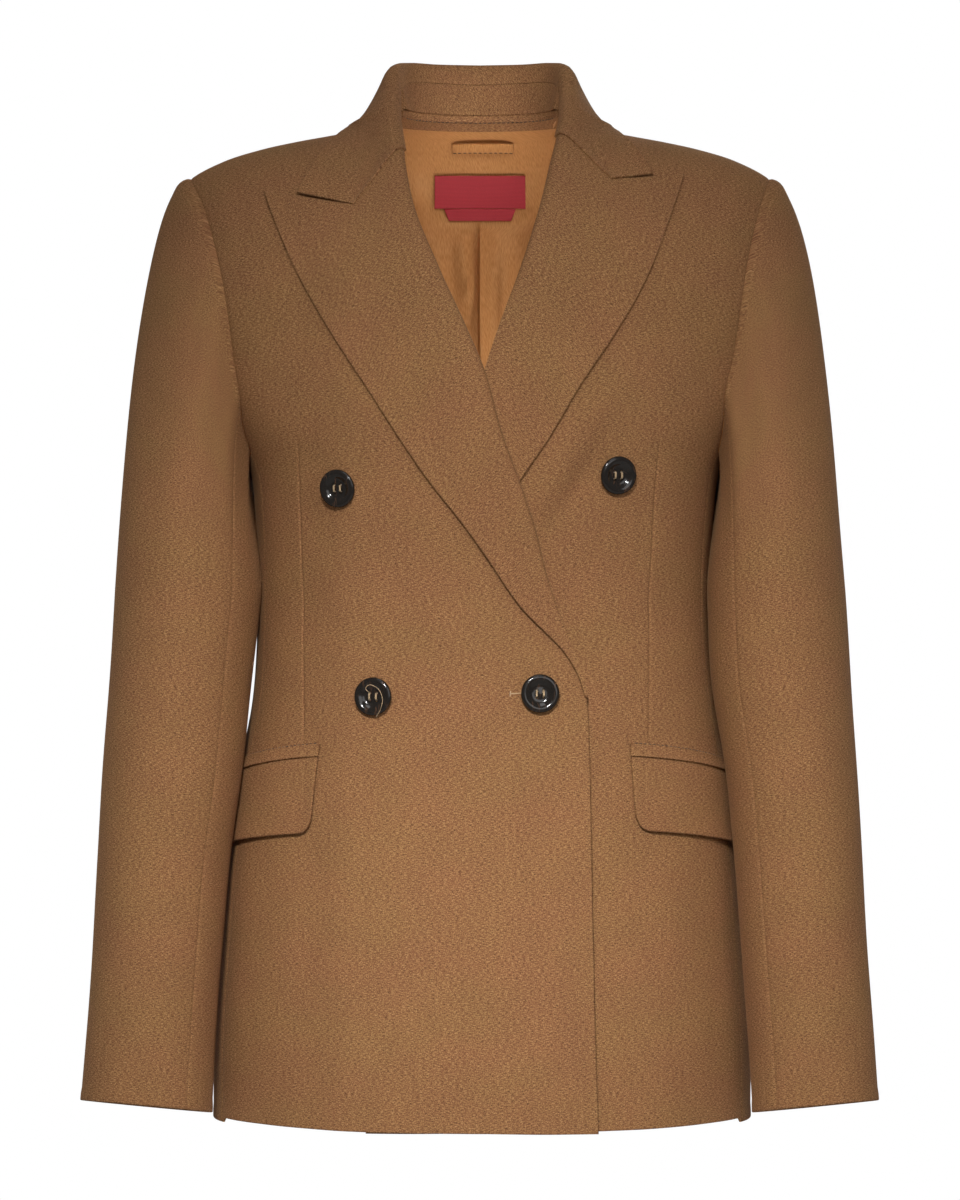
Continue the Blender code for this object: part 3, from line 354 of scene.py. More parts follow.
# The lamps, in metres and radians: each has a share of the power of one setting.
LAMPS = table("name place target size spread setting share",
    ("key_lamp", (-0.2, -2.3, 0.8), (0.01, -0.1, -0.56), 0.22, 0.5, "key", 1.0),
    ("fill_lamp", (0.8, -2.1, 0.3), (0.0, 0.0, -0.32), 1.2, np.pi, "fill", 1.0),
    ("neck_lamp", (0.12, -0.02, -0.2), (0.0, 0.08, -0.08), 0.05, np.pi, "neck", 1.0),
    ("facing_lamp", (0.0, -0.065, -0.17), (0.0, 0.055, 0.028), 0.04, 0.8, "neck", 0.09),
    ("collar_lamp", (0.0, -0.3, 0.12), (0.0, 0.05, 0.04), 0.05, 0.5, "neck", 0.066),
    ("top_lamp", (0.0, -0.9, 1.5), (0.0, 0.0, 0.0), 0.8, np.pi, "top", 1.0),
    ("back_lamp", (0.7, 2.3, 0.7), (0.0, 0.0, -0.3), 1.2, np.pi, "back", 1.0))

# What each piece was cut to: width, length and area with seam allowances, in metres.
Cut = namedtuple("Cut", "width length area held")

# Rows of the back, from the neck down, that the facing round the neck covers.
LINING_STEPS = 6

# The neck facing's upper edge laps over the stand's foot by this share of the neck's radius.
FACING_LAP = 0.985
# The sewn end of the buttonhole, as lines seen from the front.
BUTTONHOLE = ((19.6, -367.8, 27.0, -367.4), (19.8, -366.0, 19.5, -369.6))
# Loose thread ends over a button, in its own frame: across, up and out from its back.
STRAY = {"button_low_right": (
    (-1.6, 1.8, 3.0), (-4.4, 5.2, 4.6), (-1.0, 7.6, 5.2), (4.6, 4.6, 4.9), (7.4, -2.0, 4.9),
    (6.0, -8.6, 4.9), (2.6, -13.6, 3.0))}
# The neck facing's lower edge, and how far it lies inside the form.
FACING_BOTTOM = 18.2
FACING_IN = 4.0
FACING_ROWS = 7
# The collar's outer edge lies this much closer to the shoulder than the rest of it.
EDGE_DOWN = 0.2


# Curves through the tables

def smooth(keys, values, at):
    """Value at each place on a smooth curve through the given ones, level past its ends."""
    keys = np.asarray(keys, float)
    values = np.asarray(values, float)
    slopes = np.gradient(values, keys, axis=0)
    at = np.clip(at, keys[0], keys[-1])
    i = np.clip(np.searchsorted(keys, at) - 1, 0, len(keys) - 2)
    step = keys[i + 1] - keys[i]
    t = (at - keys[i]) / step
    return (
        (1 + 2 * t) * (1 - t) ** 2 * values[i] + t * (1 - t) ** 2 * step * slopes[i]
        + t * t * (3 - 2 * t) * values[i + 1] + t * t * (t - 1) * step * slopes[i + 1]
    )


def column(rows, name, at):
    """A named column of a table, at values of the table's first column."""
    return smooth([row[0] for row in rows], [getattr(row, name) for row in rows], at)


def blend(start, end, at):
    """0 at start, 1 at end, eased between."""
    t = np.clip((np.asarray(at, float) - start) / (end - start), 0, 1)
    return t * t * (3 - 2 * t)


def evenly(count):
    """Shares from 0 to 1 in this many even steps."""
    return np.linspace(0, 1, count + 1)


def traced(line, keys, at):
    """Points between those of a line, at these values of its keys."""
    return np.stack([np.interp(at, keys, values) for values in line.T], -1)


def unit(vectors):
    return vectors / np.linalg.norm(vectors, axis=-1, keepdims=True)


# The form

def ridge(x):
    """Height of the shoulder line."""
    return column(SHOULDER, "height", np.abs(x))


def rounding(turn):
    """Radius of the bend below the shoulder line."""
    frontness = (1 + np.cos(np.radians(turn))) / 2
    return BACK_ROUND + (FRONT_ROUND - BACK_ROUND) * frontness


def section_point(turn, height):
    """x and full depth of the body's level section."""
    across = np.sin(np.radians(turn))
    along = np.cos(np.radians(turn))
    reach = column(BODY, "half_width", height)
    x = column(BODY, "shift", height) + reach * np.sign(across) * np.abs(across) ** (2 / SQUARE)
    depth = np.where(along > 0, -column(BODY, "front", height), column(BODY, "back", height))
    return x, depth * np.abs(along) ** (2 / SQUARE)


def form(turn, rise):
    """Point of the form at a turn and a rise."""
    turn, rise = np.broadcast_arrays(np.asarray(turn, float), np.asarray(rise, float))
    radius = rounding(turn)
    climb = radius * np.where(rise > 0, np.sin(rise), rise)
    height = climb - FRONT_ROUND
    for _ in range(8):
        x, depth = section_point(turn, height)
        height = ridge(x) - radius + climb
    x, depth = section_point(turn, height)
    y = SHOULDER_Y + (depth - SHOULDER_Y) * np.cos(np.maximum(rise, 0))
    return np.stack([x, y, height], -1)


def facing(turn, rise):
    """Outward normal of the form."""
    around = form(turn + 0.2, rise) - form(turn - 0.2, rise)
    up = form(turn, rise + 0.004) - form(turn, rise - 0.004)
    return unit(np.cross(around, up))


def rise_at(turn, height):
    """Rise of a height on the column at this turn."""
    x, _ = section_point(turn, height)
    radius = rounding(turn)
    lift = (height - ridge(x) + radius) / radius
    return np.where(lift > 0, np.arcsin(np.clip(lift, 0, 1)), lift)


def turn_at(x, height, back=False):
    """Turn of a place seen from the front, or from the back."""
    share = (x - column(BODY, "shift", height)) / column(BODY, "half_width", height)
    share = np.clip(share, -0.9999, 0.9999)
    turn = np.degrees(np.arcsin(np.sign(share) * np.abs(share) ** (SQUARE / 2)))
    return np.where(back, np.where(turn < 0, -180.0, 180.0) - turn, turn)


def row_at(turns, height):
    """A row of turns and rises that lies at a height, or at one for each turn."""
    return np.stack([turns, rise_at(turns, height)], -1)


def row_on_top(turns):
    """A row of turns and rises along the shoulder line."""
    return np.stack([turns, np.full(len(turns), OVER)], -1)


def seen(x, height, back=False):
    """Turn and rise of a place seen from the front, or from the back."""
    x, height = np.broadcast_arrays(np.asarray(x, float), np.asarray(height, float))
    turn = turn_at(x, height, back)
    return turn, rise_at(turn, height)


def overlap(points):
    """How far the right front stands off the form, to clear the left one."""
    across = blend(*OVERLAP_SIDE, points[..., 0])
    down = blend(*OVERLAP_TOP, points[..., 2])
    return OVERLAP * across * down


def laid(turn, rise, out=0.0, on_right=False):
    """Points and normals on the form, moved out, or out from the right front."""
    points = form(turn, rise)
    normals = facing(turn, rise)
    lift = out + (overlap(points) if on_right else 0.0) + body_relief(points)
    return points + normals * np.asarray(lift)[..., None], normals


def on_form(grid, on_right=False):
    """Points and normals of a grid of turns and rises."""
    return laid(grid[..., 0], grid[..., 1], on_right=on_right)


def hermite(t, start, leave, end, arrive):
    """Place on a smooth curve that leaves its start and arrives at its end by these directions."""
    return ((1 + 2 * t) * (1 - t) ** 2 * start + t * (1 - t) ** 2 * leave
            + t * t * (3 - 2 * t) * end + t * t * (t - 1) * arrive)


# Folds and waves of the cloth

def creased(points, creases):
    """Height of the soft folds at each place."""
    x, z = points[..., 0], points[..., 2]
    total = np.zeros_like(x)
    for crease in creases:
        run_x, run_z = crease.x_to - crease.x_from, crease.z_to - crease.z_from
        length = np.hypot(run_x, run_z)
        off_x, off_z = x - crease.x_from, z - crease.z_from
        share = (off_x * run_x + off_z * run_z) / length ** 2
        aside = (off_x * run_z - off_z * run_x) / length
        ends = blend(-0.05, 0.4, share) * (1 - blend(0.6, 1.05, share))
        total = total + crease.height * ends * np.exp(-(aside / crease.width) ** 2)
    return total


def rippled(points):
    """Height of the small uneven waves that any hanging cloth has."""
    x, y, z = points[..., 0], points[..., 1], points[..., 2]
    across = np.sin((x + 0.6 * y) / 19 + 1.7 * np.sin(z / 83)) * np.sin(z / 61 + x / 47)
    down = np.sin(z / 27 + 2.1 * np.sin(x / 53 + y / 71)) * np.sin(x / 37 - z / 91 + 1.1)
    return 0.32 * across + 0.24 * down


def body_relief(points):
    """How far the folds lift the body's cloth off the form; every layer there follows it."""
    front = blend(0, 60, SHOULDER_Y - points[..., 1])
    back = blend(0, 60, points[..., 1] - SHOULDER_Y)
    below_neck = 1 - blend(-70, -20, points[..., 2])
    folds = FRONT_FULLNESS * front * creased(points, FRONT_CREASES) + back * creased(points, BACK_CREASES)
    return below_neck * folds + (0.3 + 0.7 * below_neck) * rippled(points) * 0.8


def sleeve_relief(points, normals, from_armhole):
    """Folds and waves of a sleeve, with the rope of its head beside the armhole seam."""
    front = blend(0.1, 0.7, -normals[..., 1])
    back = blend(0.1, 0.7, normals[..., 1])
    folds = front * creased(points, SLEEVE_FRONT_CREASES) + back * creased(points, SLEEVE_BACK_CREASES)
    head = blend(-110, -40, points[..., 2])
    rope = ROPE_HEIGHT * head * np.exp(-((from_armhole - ROPE_OUT) / ROPE_WIDTH) ** 2)
    return (folds + rippled(points)) * blend(0, 40, from_armhole) + rope


def lining_relief(points):
    """How far the satin stands in front of the back: folds, and the step of its centre pleat."""
    x, z = points[..., 0], points[..., 2]
    aside = np.abs(x) - LABEL_HALF - 4
    behind_label = (1 - blend(0, 9, aside)) * blend(-52, -41, z) * (1 - blend(8, 20, z))
    folds = creased(points, LINING_CREASES)
    pleat = (1 - blend(0, PLEAT_WIDTH, x)) * blend(-1.6, 0, x)
    pleat = PLEAT_HEIGHT * pleat * (1 - blend(PLEAT_TOP - 14, PLEAT_TOP, z))
    edge = 1 - blend(6, 22, z)
    satin = LINING_FULLNESS * np.maximum(folds, 0) + pleat + 0.5 + 0.5 * rippled(points * 1.6)
    return satin * (1 - behind_label) * edge


# Panels as grids

def pull_in(points, edges, amount=SEAM):
    """Move the named edges of a grid in along it, by an amount that may be outward."""
    moved = points.copy()
    for edge in edges.split():
        axis, end, beside = EDGES[edge]
        grid = np.moveaxis(points, axis, 0)
        np.moveaxis(moved, axis, 0)[end] += away(grid[end], grid[beside]) * amount
    return moved


def away(edge, beside):
    """Directions from an edge into the grid, square to the edge."""
    line = unit(np.gradient(edge, axis=0))
    into = beside - edge
    return unit(into - line * (into * line).sum(-1, keepdims=True))


def patch(first, last, bottom, top):
    """A grid of turns and rises blended between its four edges."""
    t = np.linspace(0, 1, len(first))[:, None, None]
    s = np.linspace(0, 1, len(bottom))[None, :, None]
    corners = ((1 - s) * (1 - t) * bottom[0] + s * (1 - t) * bottom[-1]
               + (1 - s) * t * top[0] + s * t * top[-1])
    sides = (1 - s) * first[:, None] + s * last[:, None]
    ends = (1 - t) * bottom[None] + t * top[None]
    return sides + ends - corners


# Edges of the body panels, each from the hem up, as rows of turn and rise

def lower_heights():
    """Heights of the rows from hem to underarm."""
    low = np.linspace(HEM, BREAK, LOW_ROWS + 1)
    waist = np.linspace(BREAK, UNDERARM, WAIST_ROWS + 1)
    return np.concatenate([low, waist[1:]])


def upright(turn_of):
    """An edge that climbs from the hem to the shoulder line, its turn given by its height."""
    heights = lower_heights()
    turns = turn_of(heights)
    rises = rise_at(turns, heights)
    upper = np.linspace(rises[-1], OVER, SHOULDER_ROWS + 1)[1:]
    reached = np.linspace(UNDERARM, 0, SHOULDER_ROWS)
    for _ in range(12):
        upper_turns = turn_of(reached)
        reached = form(upper_turns, upper)[..., 2]
    return np.stack([np.append(turns, upper_turns), np.append(rises, upper)], -1)


def armhole_turn(side, back=False):
    """Turn of a panel's edge at the side seam and round the armhole, by height."""
    sign = SIDES[side]
    start = sign * (SEAM_BACK if back else SEAM_FRONT)
    heights = np.array([row.height for row in ARMHOLE], float)
    out = np.array([row.back if back else getattr(row, side) for row in ARMHOLE])
    turns = turn_at(sign * out, heights, back)
    keys = np.concatenate([[UNDERARM], heights])
    values = np.concatenate([[start], turns])
    return lambda height: np.where(height <= UNDERARM, start, smooth(keys, values, height))


def front_edge_turn(side):
    """Turn of a front's edge by height: the straight edge, then just inside the roll line."""
    def turn_of(height):
        straight = column(FRONT_EDGE, side, height)
        inset = EDGE_INSET * blend(BREAK, BREAK + 20, height) * (1 - blend(*INSET_ENDS, height))
        rolled = column(ROLL, side, height) + SIDES[side] * inset
        return turn_at(np.where(height < BREAK - 2, straight, rolled), height)

    return turn_of


def front_panel(side):
    """A front, from its edge to the side seam, armhole and shoulder."""
    edge = upright(front_edge_turn(side))
    seam = upright(armhole_turn(side))
    across = evenly(FRONT_COLUMNS)
    hem_turns = edge[0, 0] + (seam[0, 0] - edge[0, 0]) * across
    dip = HEM_DIP * (1 - across)
    hem = row_at(hem_turns, HEM - dip + HEM_DIP)
    hem[-1] = seam[0]
    edge[0] = hem[0]
    return patch(edge, seam, hem, row_on_top(edge[-1, 0] + (seam[-1, 0] - edge[-1, 0]) * across))


def side_panel(side):
    """A side panel, from the front seam to the back seam and up to the underarm."""
    front = upright(armhole_turn(side))
    back = upright(armhole_turn(side, True))
    rows = LOW_ROWS + WAIST_ROWS + 1
    across = evenly(SIDE_COLUMNS)
    turns = front[0, 0] + (back[0, 0] - front[0, 0]) * across
    top = row_at(turns, UNDERARM - UNDERARM_DIP * 4 * across * (1 - across))
    return patch(front[:rows], back[:rows], row_at(turns, HEM), top)


def back_panel(side):
    """Half the back, from the side seam to the centre-back seam."""
    sign = SIDES[side]
    seam = upright(armhole_turn(side, True))
    shoulder = np.linspace(seam[-1, 0], turn_at(sign * NECK_HALF, NECK_BACK, True),
                           BACK_COLUMNS + 1)
    across = np.linspace(0, np.pi / 2, NECK_COLUMNS + 1)[1:]
    neck_turns, neck_rises = seen(sign * NECK_HALF * np.cos(across), NECK_BACK, True)
    neck_turns[-1] = sign * 180.0
    neck_rises[-1] = rise_at(180.0, NECK_BACK)
    top = np.concatenate([row_on_top(shoulder), np.stack([neck_turns, neck_rises], -1)])
    turns = seam[0, 0] + (sign * 180.0 - seam[0, 0]) * evenly(len(top) - 1)
    rises = rise_at(180.0, lower_heights())
    climb = evenly(SHOULDER_ROWS)[1:]
    climb = climb * (BACK_CLIMB - (BACK_CLIMB - 1) * climb)
    upper = rises[-1] + (neck_rises[-1] - rises[-1]) * climb
    rises = np.append(rises, upper)
    centre = np.stack([np.full(len(rises), sign * 180.0), rises], -1)
    return patch(seam, centre, row_at(turns, HEM), top)


# Armhole and sleeve

def armhole_loop(side):
    """Points round the armhole: from the shoulder down the front and up the back."""
    front = front_panel(side)[ARMHOLE_ROWS, -1]
    under = side_panel(side)[-1]
    back = back_panel(side)[ARMHOLE_ROWS, 0]
    loop = np.concatenate([front[::-1], under[1:-1], back])
    points, normals = on_form(loop)
    if side == "right":
        points = points + normals * overlap(points)[:, None]
    return points


def toward_centre(points, centre, normals):
    """Normals for an armhole's edge, leaned so that both walls close towards its centre."""
    return unit(normals + unit(points - centre))


def sleeve_angles():
    """Angle round the sleeve of each point of the armhole, 0 at the outer edge."""
    first, last = 180 - UNDER_SPAN / 2, 180 + UNDER_SPAN / 2
    front = np.linspace(0, first, SHOULDER_ROWS + 1)
    under = np.linspace(first, last, SIDE_COLUMNS + 1)
    back = np.linspace(last, 360, SHOULDER_ROWS + 1)
    return np.radians(np.concatenate([front[:-1], under[:-1], back]))


def sleeve_ring(side, angle, height):
    """Points round the sleeve at the given heights."""
    sign = SIDES[side]
    outer, inner, depth, middle = [column(SLEEVE, name, height) for name in (
        "outer", "inner_" + side, "depth", "middle")]
    x = (outer + inner) / 2 + (outer - inner) / 2 * np.cos(angle)
    return np.stack([sign * x, middle - depth * np.sin(angle), height], -1)


def sleeve(side):
    """Points and normals of the whole sleeve, rows from the cuff up to the armhole."""
    sign = SIDES[side]
    angle = sleeve_angles()
    loop = armhole_loop(side)
    across = (1 + np.cos(angle)) / 2
    cuff = CUFF_INNER + (CUFF_OUTER - CUFF_INNER) * across + CUFF_PITCH * np.sin(angle)
    rows = []
    for t in evenly(ARM_ROWS)[:-1]:
        rows.append(sleeve_ring(side, angle, cuff + (SLEEVE_TOP - cuff) * t))
    ring = sleeve_ring(side, angle, np.full_like(angle, SLEEVE_TOP))
    out, down, reach = [low + (high - low) * across for low, high in zip(CAP_UNDER, CAP_TOP)]
    outward = np.stack([sign * out, -CAP_FORWARD * np.sin(angle), -down], -1)
    arrive = np.stack([sign * CAP_FORWARD * across, 0 * angle, -reach], -1)
    for t in np.linspace(1, 0, CAP_ROWS + 1):
        rows.append(hermite(t, loop, outward, ring, arrive))
    points = np.array(rows)
    points[-1] += away(points[-1], points[-2]) * SEAM
    around = np.roll(points[:, :-1], -1, 1) - np.roll(points[:, :-1], 1, 1)
    around = np.concatenate([around, around[:, :1]], 1)
    up = np.gradient(points, axis=0)
    normals = unit(np.cross(up, around)) * sign
    normals[-1] = toward_centre(points[-1], loop.mean(0), normals[-1])
    return points, normals


# Lapels and collar

def roll_height(inward, fade):
    """Height of the folded edge above what it lies on; fade 0 presses it flat."""
    height = column(ROLL_PROFILE, "height", inward)
    return FLAT_HEIGHT + (height - FLAT_HEIGHT) * fade


def across_lapel(width, count):
    """Shares of a width at which the columns lie, close together at the fold."""
    steps = np.minimum(np.array(ROLL_STEPS), width * np.array(NARROW_STEPS))
    rest = evenly(count)[1:]
    return np.concatenate([steps, steps[-1] + (width - steps[-1]) * rest]) / width


def gorge_line(side):
    """The lapel's top edge, seen from the front: fold, notch and tip."""
    start, notch, _, tip = np.array(GORGE[side])
    width = np.linalg.norm(notch - start)
    seam = start + (notch - start) * across_lapel(width, GORGE_COLUMNS)[:, None]
    beyond = evenly(TOP_EDGE_COLUMNS)[1:, None]
    return np.concatenate([seam, notch + (tip - notch) * beyond])


def lapel(side):
    """Points and normals of a lapel, rows from its foot up to the gorge."""
    top = gorge_line(side)
    columns = GORGE_COLUMNS + TOP_EDGE_COLUMNS
    chord = top[0] + (top[-1] - top[0]) * across_lapel(
        np.linalg.norm(top[-1] - top[0]), columns)[:, None]
    rows = []
    for t in evenly(LAPEL_ROWS):
        low = LAPEL_END + (top[0, 1] - LAPEL_END) * t
        high = LAPEL_END + 1 + (top[-1, 1] - LAPEL_END - 1) * t
        fold = np.array([column(ROLL, side, low), low])
        edge = np.array([column(LAPEL_EDGE, side, high), high])
        if t == 1:
            fold, edge = top[0], top[-1]
        shares = across_lapel(np.linalg.norm(edge - fold), columns)[:, None]
        rows.append(fold + (edge - fold) * shares + (top - chord) * t ** 3)
    rows = np.array(rows)
    inward = np.linalg.norm(rows - rows[:, :1], axis=-1)
    turn, rise = seen(rows[..., 0], rows[..., 1])
    fade = blend(*ROUNDS_OFF[side], rows[:, :1, 1])
    points, _ = laid(turn, rise, roll_height(inward, fade), on_right=side == "right")
    return points, grid_normals(points, SIDES[side])


def grid_normals(points, sign):
    """Normals of a grid, from its own neighbours."""
    along = np.gradient(points, axis=0)
    across = np.gradient(points, axis=1)
    return unit(np.cross(across, along)) * sign


def neckline(side):
    """The neck edge of the panels, from the gorge round to centre back."""
    front, _ = on_form(front_panel(side)[:, 0])
    back, _ = on_form(back_panel(side)[-1, BACK_COLUMNS + 1:])
    line = np.concatenate([front, back])
    start = np.interp(GORGE[side].start[1], front[:, 2], np.arange(len(front)))
    places = np.append(start, np.arange(np.ceil(start), len(line)))
    return traced(line, np.arange(len(line)), places)


def shares_along(line):
    """Share of a line's length at each of its points."""
    lengths = np.append(0, np.cumsum(np.linalg.norm(np.diff(line, axis=0), axis=1)))
    return lengths / lengths[-1]


def along(line, shares):
    """Points at shares of the length of a line."""
    return traced(line, shares_along(line), shares)


def collar_shares():
    """Where the collar's columns lie from the gorge to centre back, closer at the gorge."""
    return evenly(COLLAR_COLUMNS) ** COLLAR_PACKED


def stand_foot(side):
    """Foot of the stand's inner face, just inside and above the neck edge."""
    edge = along(neckline(side), collar_shares())
    inward = unit(-edge * np.array([1.0, 1.0, 0.0]))
    return edge + inward * STAND_INSIDE + np.array([0.0, 0.0, STAND_UP])


def lifted(points, least):
    """Points raised off the form where they lie closer to it than the least distance."""
    turn, rise = seen(points[..., 0], points[..., 2], points[..., 1] > SHOULDER_Y)
    below, normals = laid(turn, rise)
    above = ((points - below) * normals).sum(-1, keepdims=True)
    return points + normals * np.maximum(least - above, 0)


def collar_half(side):
    """The fold, its frame, the outer edge and the neckline, from the gorge to centre back."""
    sign = SIDES[side]
    stations = COLLAR[::-1]
    folds = np.array([lapel(side)[0][-1, 0]] + [
        np.array([sign * s.fold_x, s.fold_y, s.fold_z]) for s in stations])
    keys, shares = shares_along(folds), collar_shares()
    fold = np.stack([smooth(keys, folds[:, k], shares) for k in range(3)], -1)
    corner_x, corner_z = GORGE[side].corner
    _, corner_rise = seen(corner_x, corner_z)
    tilt = smooth(keys, [-np.degrees(OVER - corner_rise)] + [s.edge_tilt for s in stations], shares)
    edge_x = sign * smooth(keys, [abs(corner_x)] + [s.edge_x for s in stations], shares)
    edge_x[-1] = 0.0
    into = [1.0] + [s.into for s in stations]
    edge, edge_normal = shoulder_point(edge_x, tilt)
    return fold, edge, edge_normal, smooth(keys, into, shares), shares


def shoulder_point(x, tilt):
    """Point and normal over the shoulder at x, tilt degrees to the back of its line."""
    rise = OVER - np.radians(np.abs(tilt))
    back = tilt > 0
    turn = turn_at(x, np.zeros_like(x), back)
    for _ in range(6):
        height = form(turn, rise)[..., 2]
        turn = turn_at(x, height, back)
    return laid(turn, rise, COLLAR_LIFT * EDGE_DOWN)


def collar_sections(side):
    """Sections of the turned-down collar, one for each column, from the gorge to centre back."""
    sign = SIDES[side]
    fold, edge, edge_normal, into, shares = collar_half(side)
    foot = stand_foot(side)
    tangent = unit(np.gradient(fold, axis=0))
    inward = np.array([-sign, 0.0, 0.0])
    upward = np.array([0.0, 0.0, 1.0])
    crest = unit(upward * (1 - 0.75 * into)[:, None] + inward * into[:, None])
    crest = unit(crest - tangent * (crest * tangent).sum(-1, keepdims=True))
    outside = unit(np.cross(tangent, crest)) * sign
    sections = []
    for i in range(len(shares)):
        down = foot[i] - fold[i]
        depth = np.linalg.norm(down)
        reach = min(STAND_DROP / depth, INSIDE_MOST)
        start = fold[i] + down * reach - outside[i] * 0.8 * INSIDE * (1 - reach)
        bend = fold[i] + down * min(reach * 0.4, INSIDE_DROP / depth) - outside[i] * INSIDE
        rolled = [fold[i] - crest[i] * step + outside[i] * roll_height(step, 1.0)
                  for step in ROLL_STEPS]
        leave = rolled[-1]
        span = np.linalg.norm(edge[i] - leave)
        depart = unit(-crest[i] + 0.15 * outside[i]) * span
        arrive = edge[i] - leave
        arrive = arrive - edge_normal[i] * (arrive @ edge_normal[i])
        arrive = unit(arrive) * span
        fall = [hermite(t, leave, depart, edge[i], arrive)
                for t in evenly(FALL_STEPS)[1:]]
        sections.append([start, bend] + rolled + fall)
    sections = np.array(sections)
    ending = collar_end(side, sections[0])
    fade = (1 - blend(0.0, GORGE_REACH, shares))[:, None, None]
    sections = sections + (ending - sections[0])[None] * fade
    least = COLLAR_LIFT * np.interp(np.arange(FALL_STEPS), (FALL_STEPS - 6, FALL_STEPS - 1),
                                    (1.0, EDGE_DOWN))[:, None]
    sections[1:, -FALL_STEPS:] = lifted(sections[1:, -FALL_STEPS:], least)
    return sections


def collar_end(side, section):
    """The collar's last section: along the gorge to the notch, then out to its corner."""
    start, notch, corner, _ = np.array(GORGE[side])
    width = np.linalg.norm(notch - start)
    seam = start + (notch - start) * across_lapel(width, GORGE_COLUMNS)[:, None]
    beyond = np.linspace(0, 1, FALL_STEPS - GORGE_COLUMNS + 1)[1:, None]
    line = np.concatenate([seam, notch + (corner - notch) * beyond])
    inward = np.linalg.norm(line - start, axis=-1)
    turn, rise = seen(line[:, 0], line[:, 1])
    points, _ = laid(turn, rise, roll_height(inward, 1.0), on_right=side == "right")
    first = points[0] + (section[0] - section[2]) * 0.3
    second = points[0] + (section[1] - section[2]) * 0.3
    return np.concatenate([[first, second], points])


def both_halves(of):
    """A grid's right half and left half as one, meeting at centre back."""
    return np.concatenate([of("right"), of("left")[-2::-1]])


# What lies inside the back

def back_grid():
    """Points and normals of both halves of the back, from the right side seam round to the left."""
    halves = [on_form(back_panel(side)) for side in SIDES]
    return [np.concatenate([right, left[:, -2::-1]], 1) for right, left in zip(*halves)]


def on_lining(x, height, lift):
    """Points in front of the back lining, seen from the front."""
    turn, rise = seen(x, height, True)
    points, normals = laid(turn, rise, -(CLOTH + GAP + LINING + lift))
    return points, -normals


# Cloth walls

def at_places(values, places, axis):
    """Rows or columns of a grid at whole and fractional places."""
    values = np.moveaxis(values, axis, 0)
    places = np.clip(places, 0, len(values) - 1)
    low = np.minimum(places.astype(int), len(values) - 2)
    share = (places - low).reshape(-1, *[1] * (values.ndim - 1))
    return np.moveaxis(values[low] * (1 - share) + values[low + 1] * share, 0, axis)


def close_places(points, axis, low, high):
    """Places along an axis, with close ones added by the low edge, the high edge or both."""
    grid = np.moveaxis(points, axis, 0)
    count = len(grid)
    places = [float(i) for i in range(count)]
    for wanted, start, beside, sign in ((low, 0, 1, 1), (high, count - 1, count - 2, -1)):
        if wanted:
            step = np.linalg.norm(grid[beside] - grid[start], axis=-1).mean()
            places += [start + sign * d / step for d in EDGE_STEPS if d < 0.8 * step]
    return np.array(sorted(places))


def distances(points):
    """Distance of each place from each edge of its grid, and its place along and across it."""
    columns = np.linalg.norm(np.diff(points, axis=1), axis=-1)
    rows = np.linalg.norm(np.diff(points, axis=0), axis=-1)
    across = np.concatenate([np.zeros((len(points), 1)), np.cumsum(columns, 1)], 1)
    along = np.concatenate([np.zeros((1, points.shape[1])), np.cumsum(rows, 0)], 0)
    return {"first": across, "last": across[:, -1:] - across, "bottom": along,
            "top": along[-1:] - along}


def cloth(name, points, normals, thickness=CLOTH, folded="", seams="", outside="wool_flannel",
          inside=None, relief=None):
    """A closed wall of cloth on a grid: its folded edges are round and its seams pressed in."""
    rows = close_places(points, 0, "bottom" in folded + seams, "top" in folded + seams)
    columns = close_places(points, 1, "first" in folded + seams, "last" in folded + seams)
    points, normals, relief = [
        at_places(at_places(values, rows, 0), columns, 1)
        for values in (points, normals, np.zeros_like(points) if relief is None else relief)]
    normals = unit(normals)
    points = points + normals * relief
    away_from = distances(points)
    settings = bpy.context.scene.blazer_cloth
    half = thickness / 2
    outer, inner, swell = np.zeros((3,) + points.shape[:2])
    for edge in folded.split():
        near = np.clip(1 - away_from[edge] / half, 0, 1)
        turned = 0.92 * half * (1 - np.sqrt(1 - near ** 2))
        outer = np.maximum(outer, turned)
        inner = np.maximum(inner, turned)
        swell = np.maximum(swell, 1 - blend(*SWELL_WIDTH, away_from[edge]))
    for edge in seams.split():
        pressed = np.exp(-(away_from[edge] / SEAM_WIDTH) ** 2)
        outer = np.maximum(outer, settings.seam_depth / MM * pressed)
    swell = swell * settings.edge_swell / MM * min(1.0, thickness / CLOTH)
    front = points - normals * (outer - swell)[..., None]
    behind = points - normals * (thickness - inner)[..., None]
    return cloth_object(name, front, behind, away_from, outside, inside and inside(away_from))


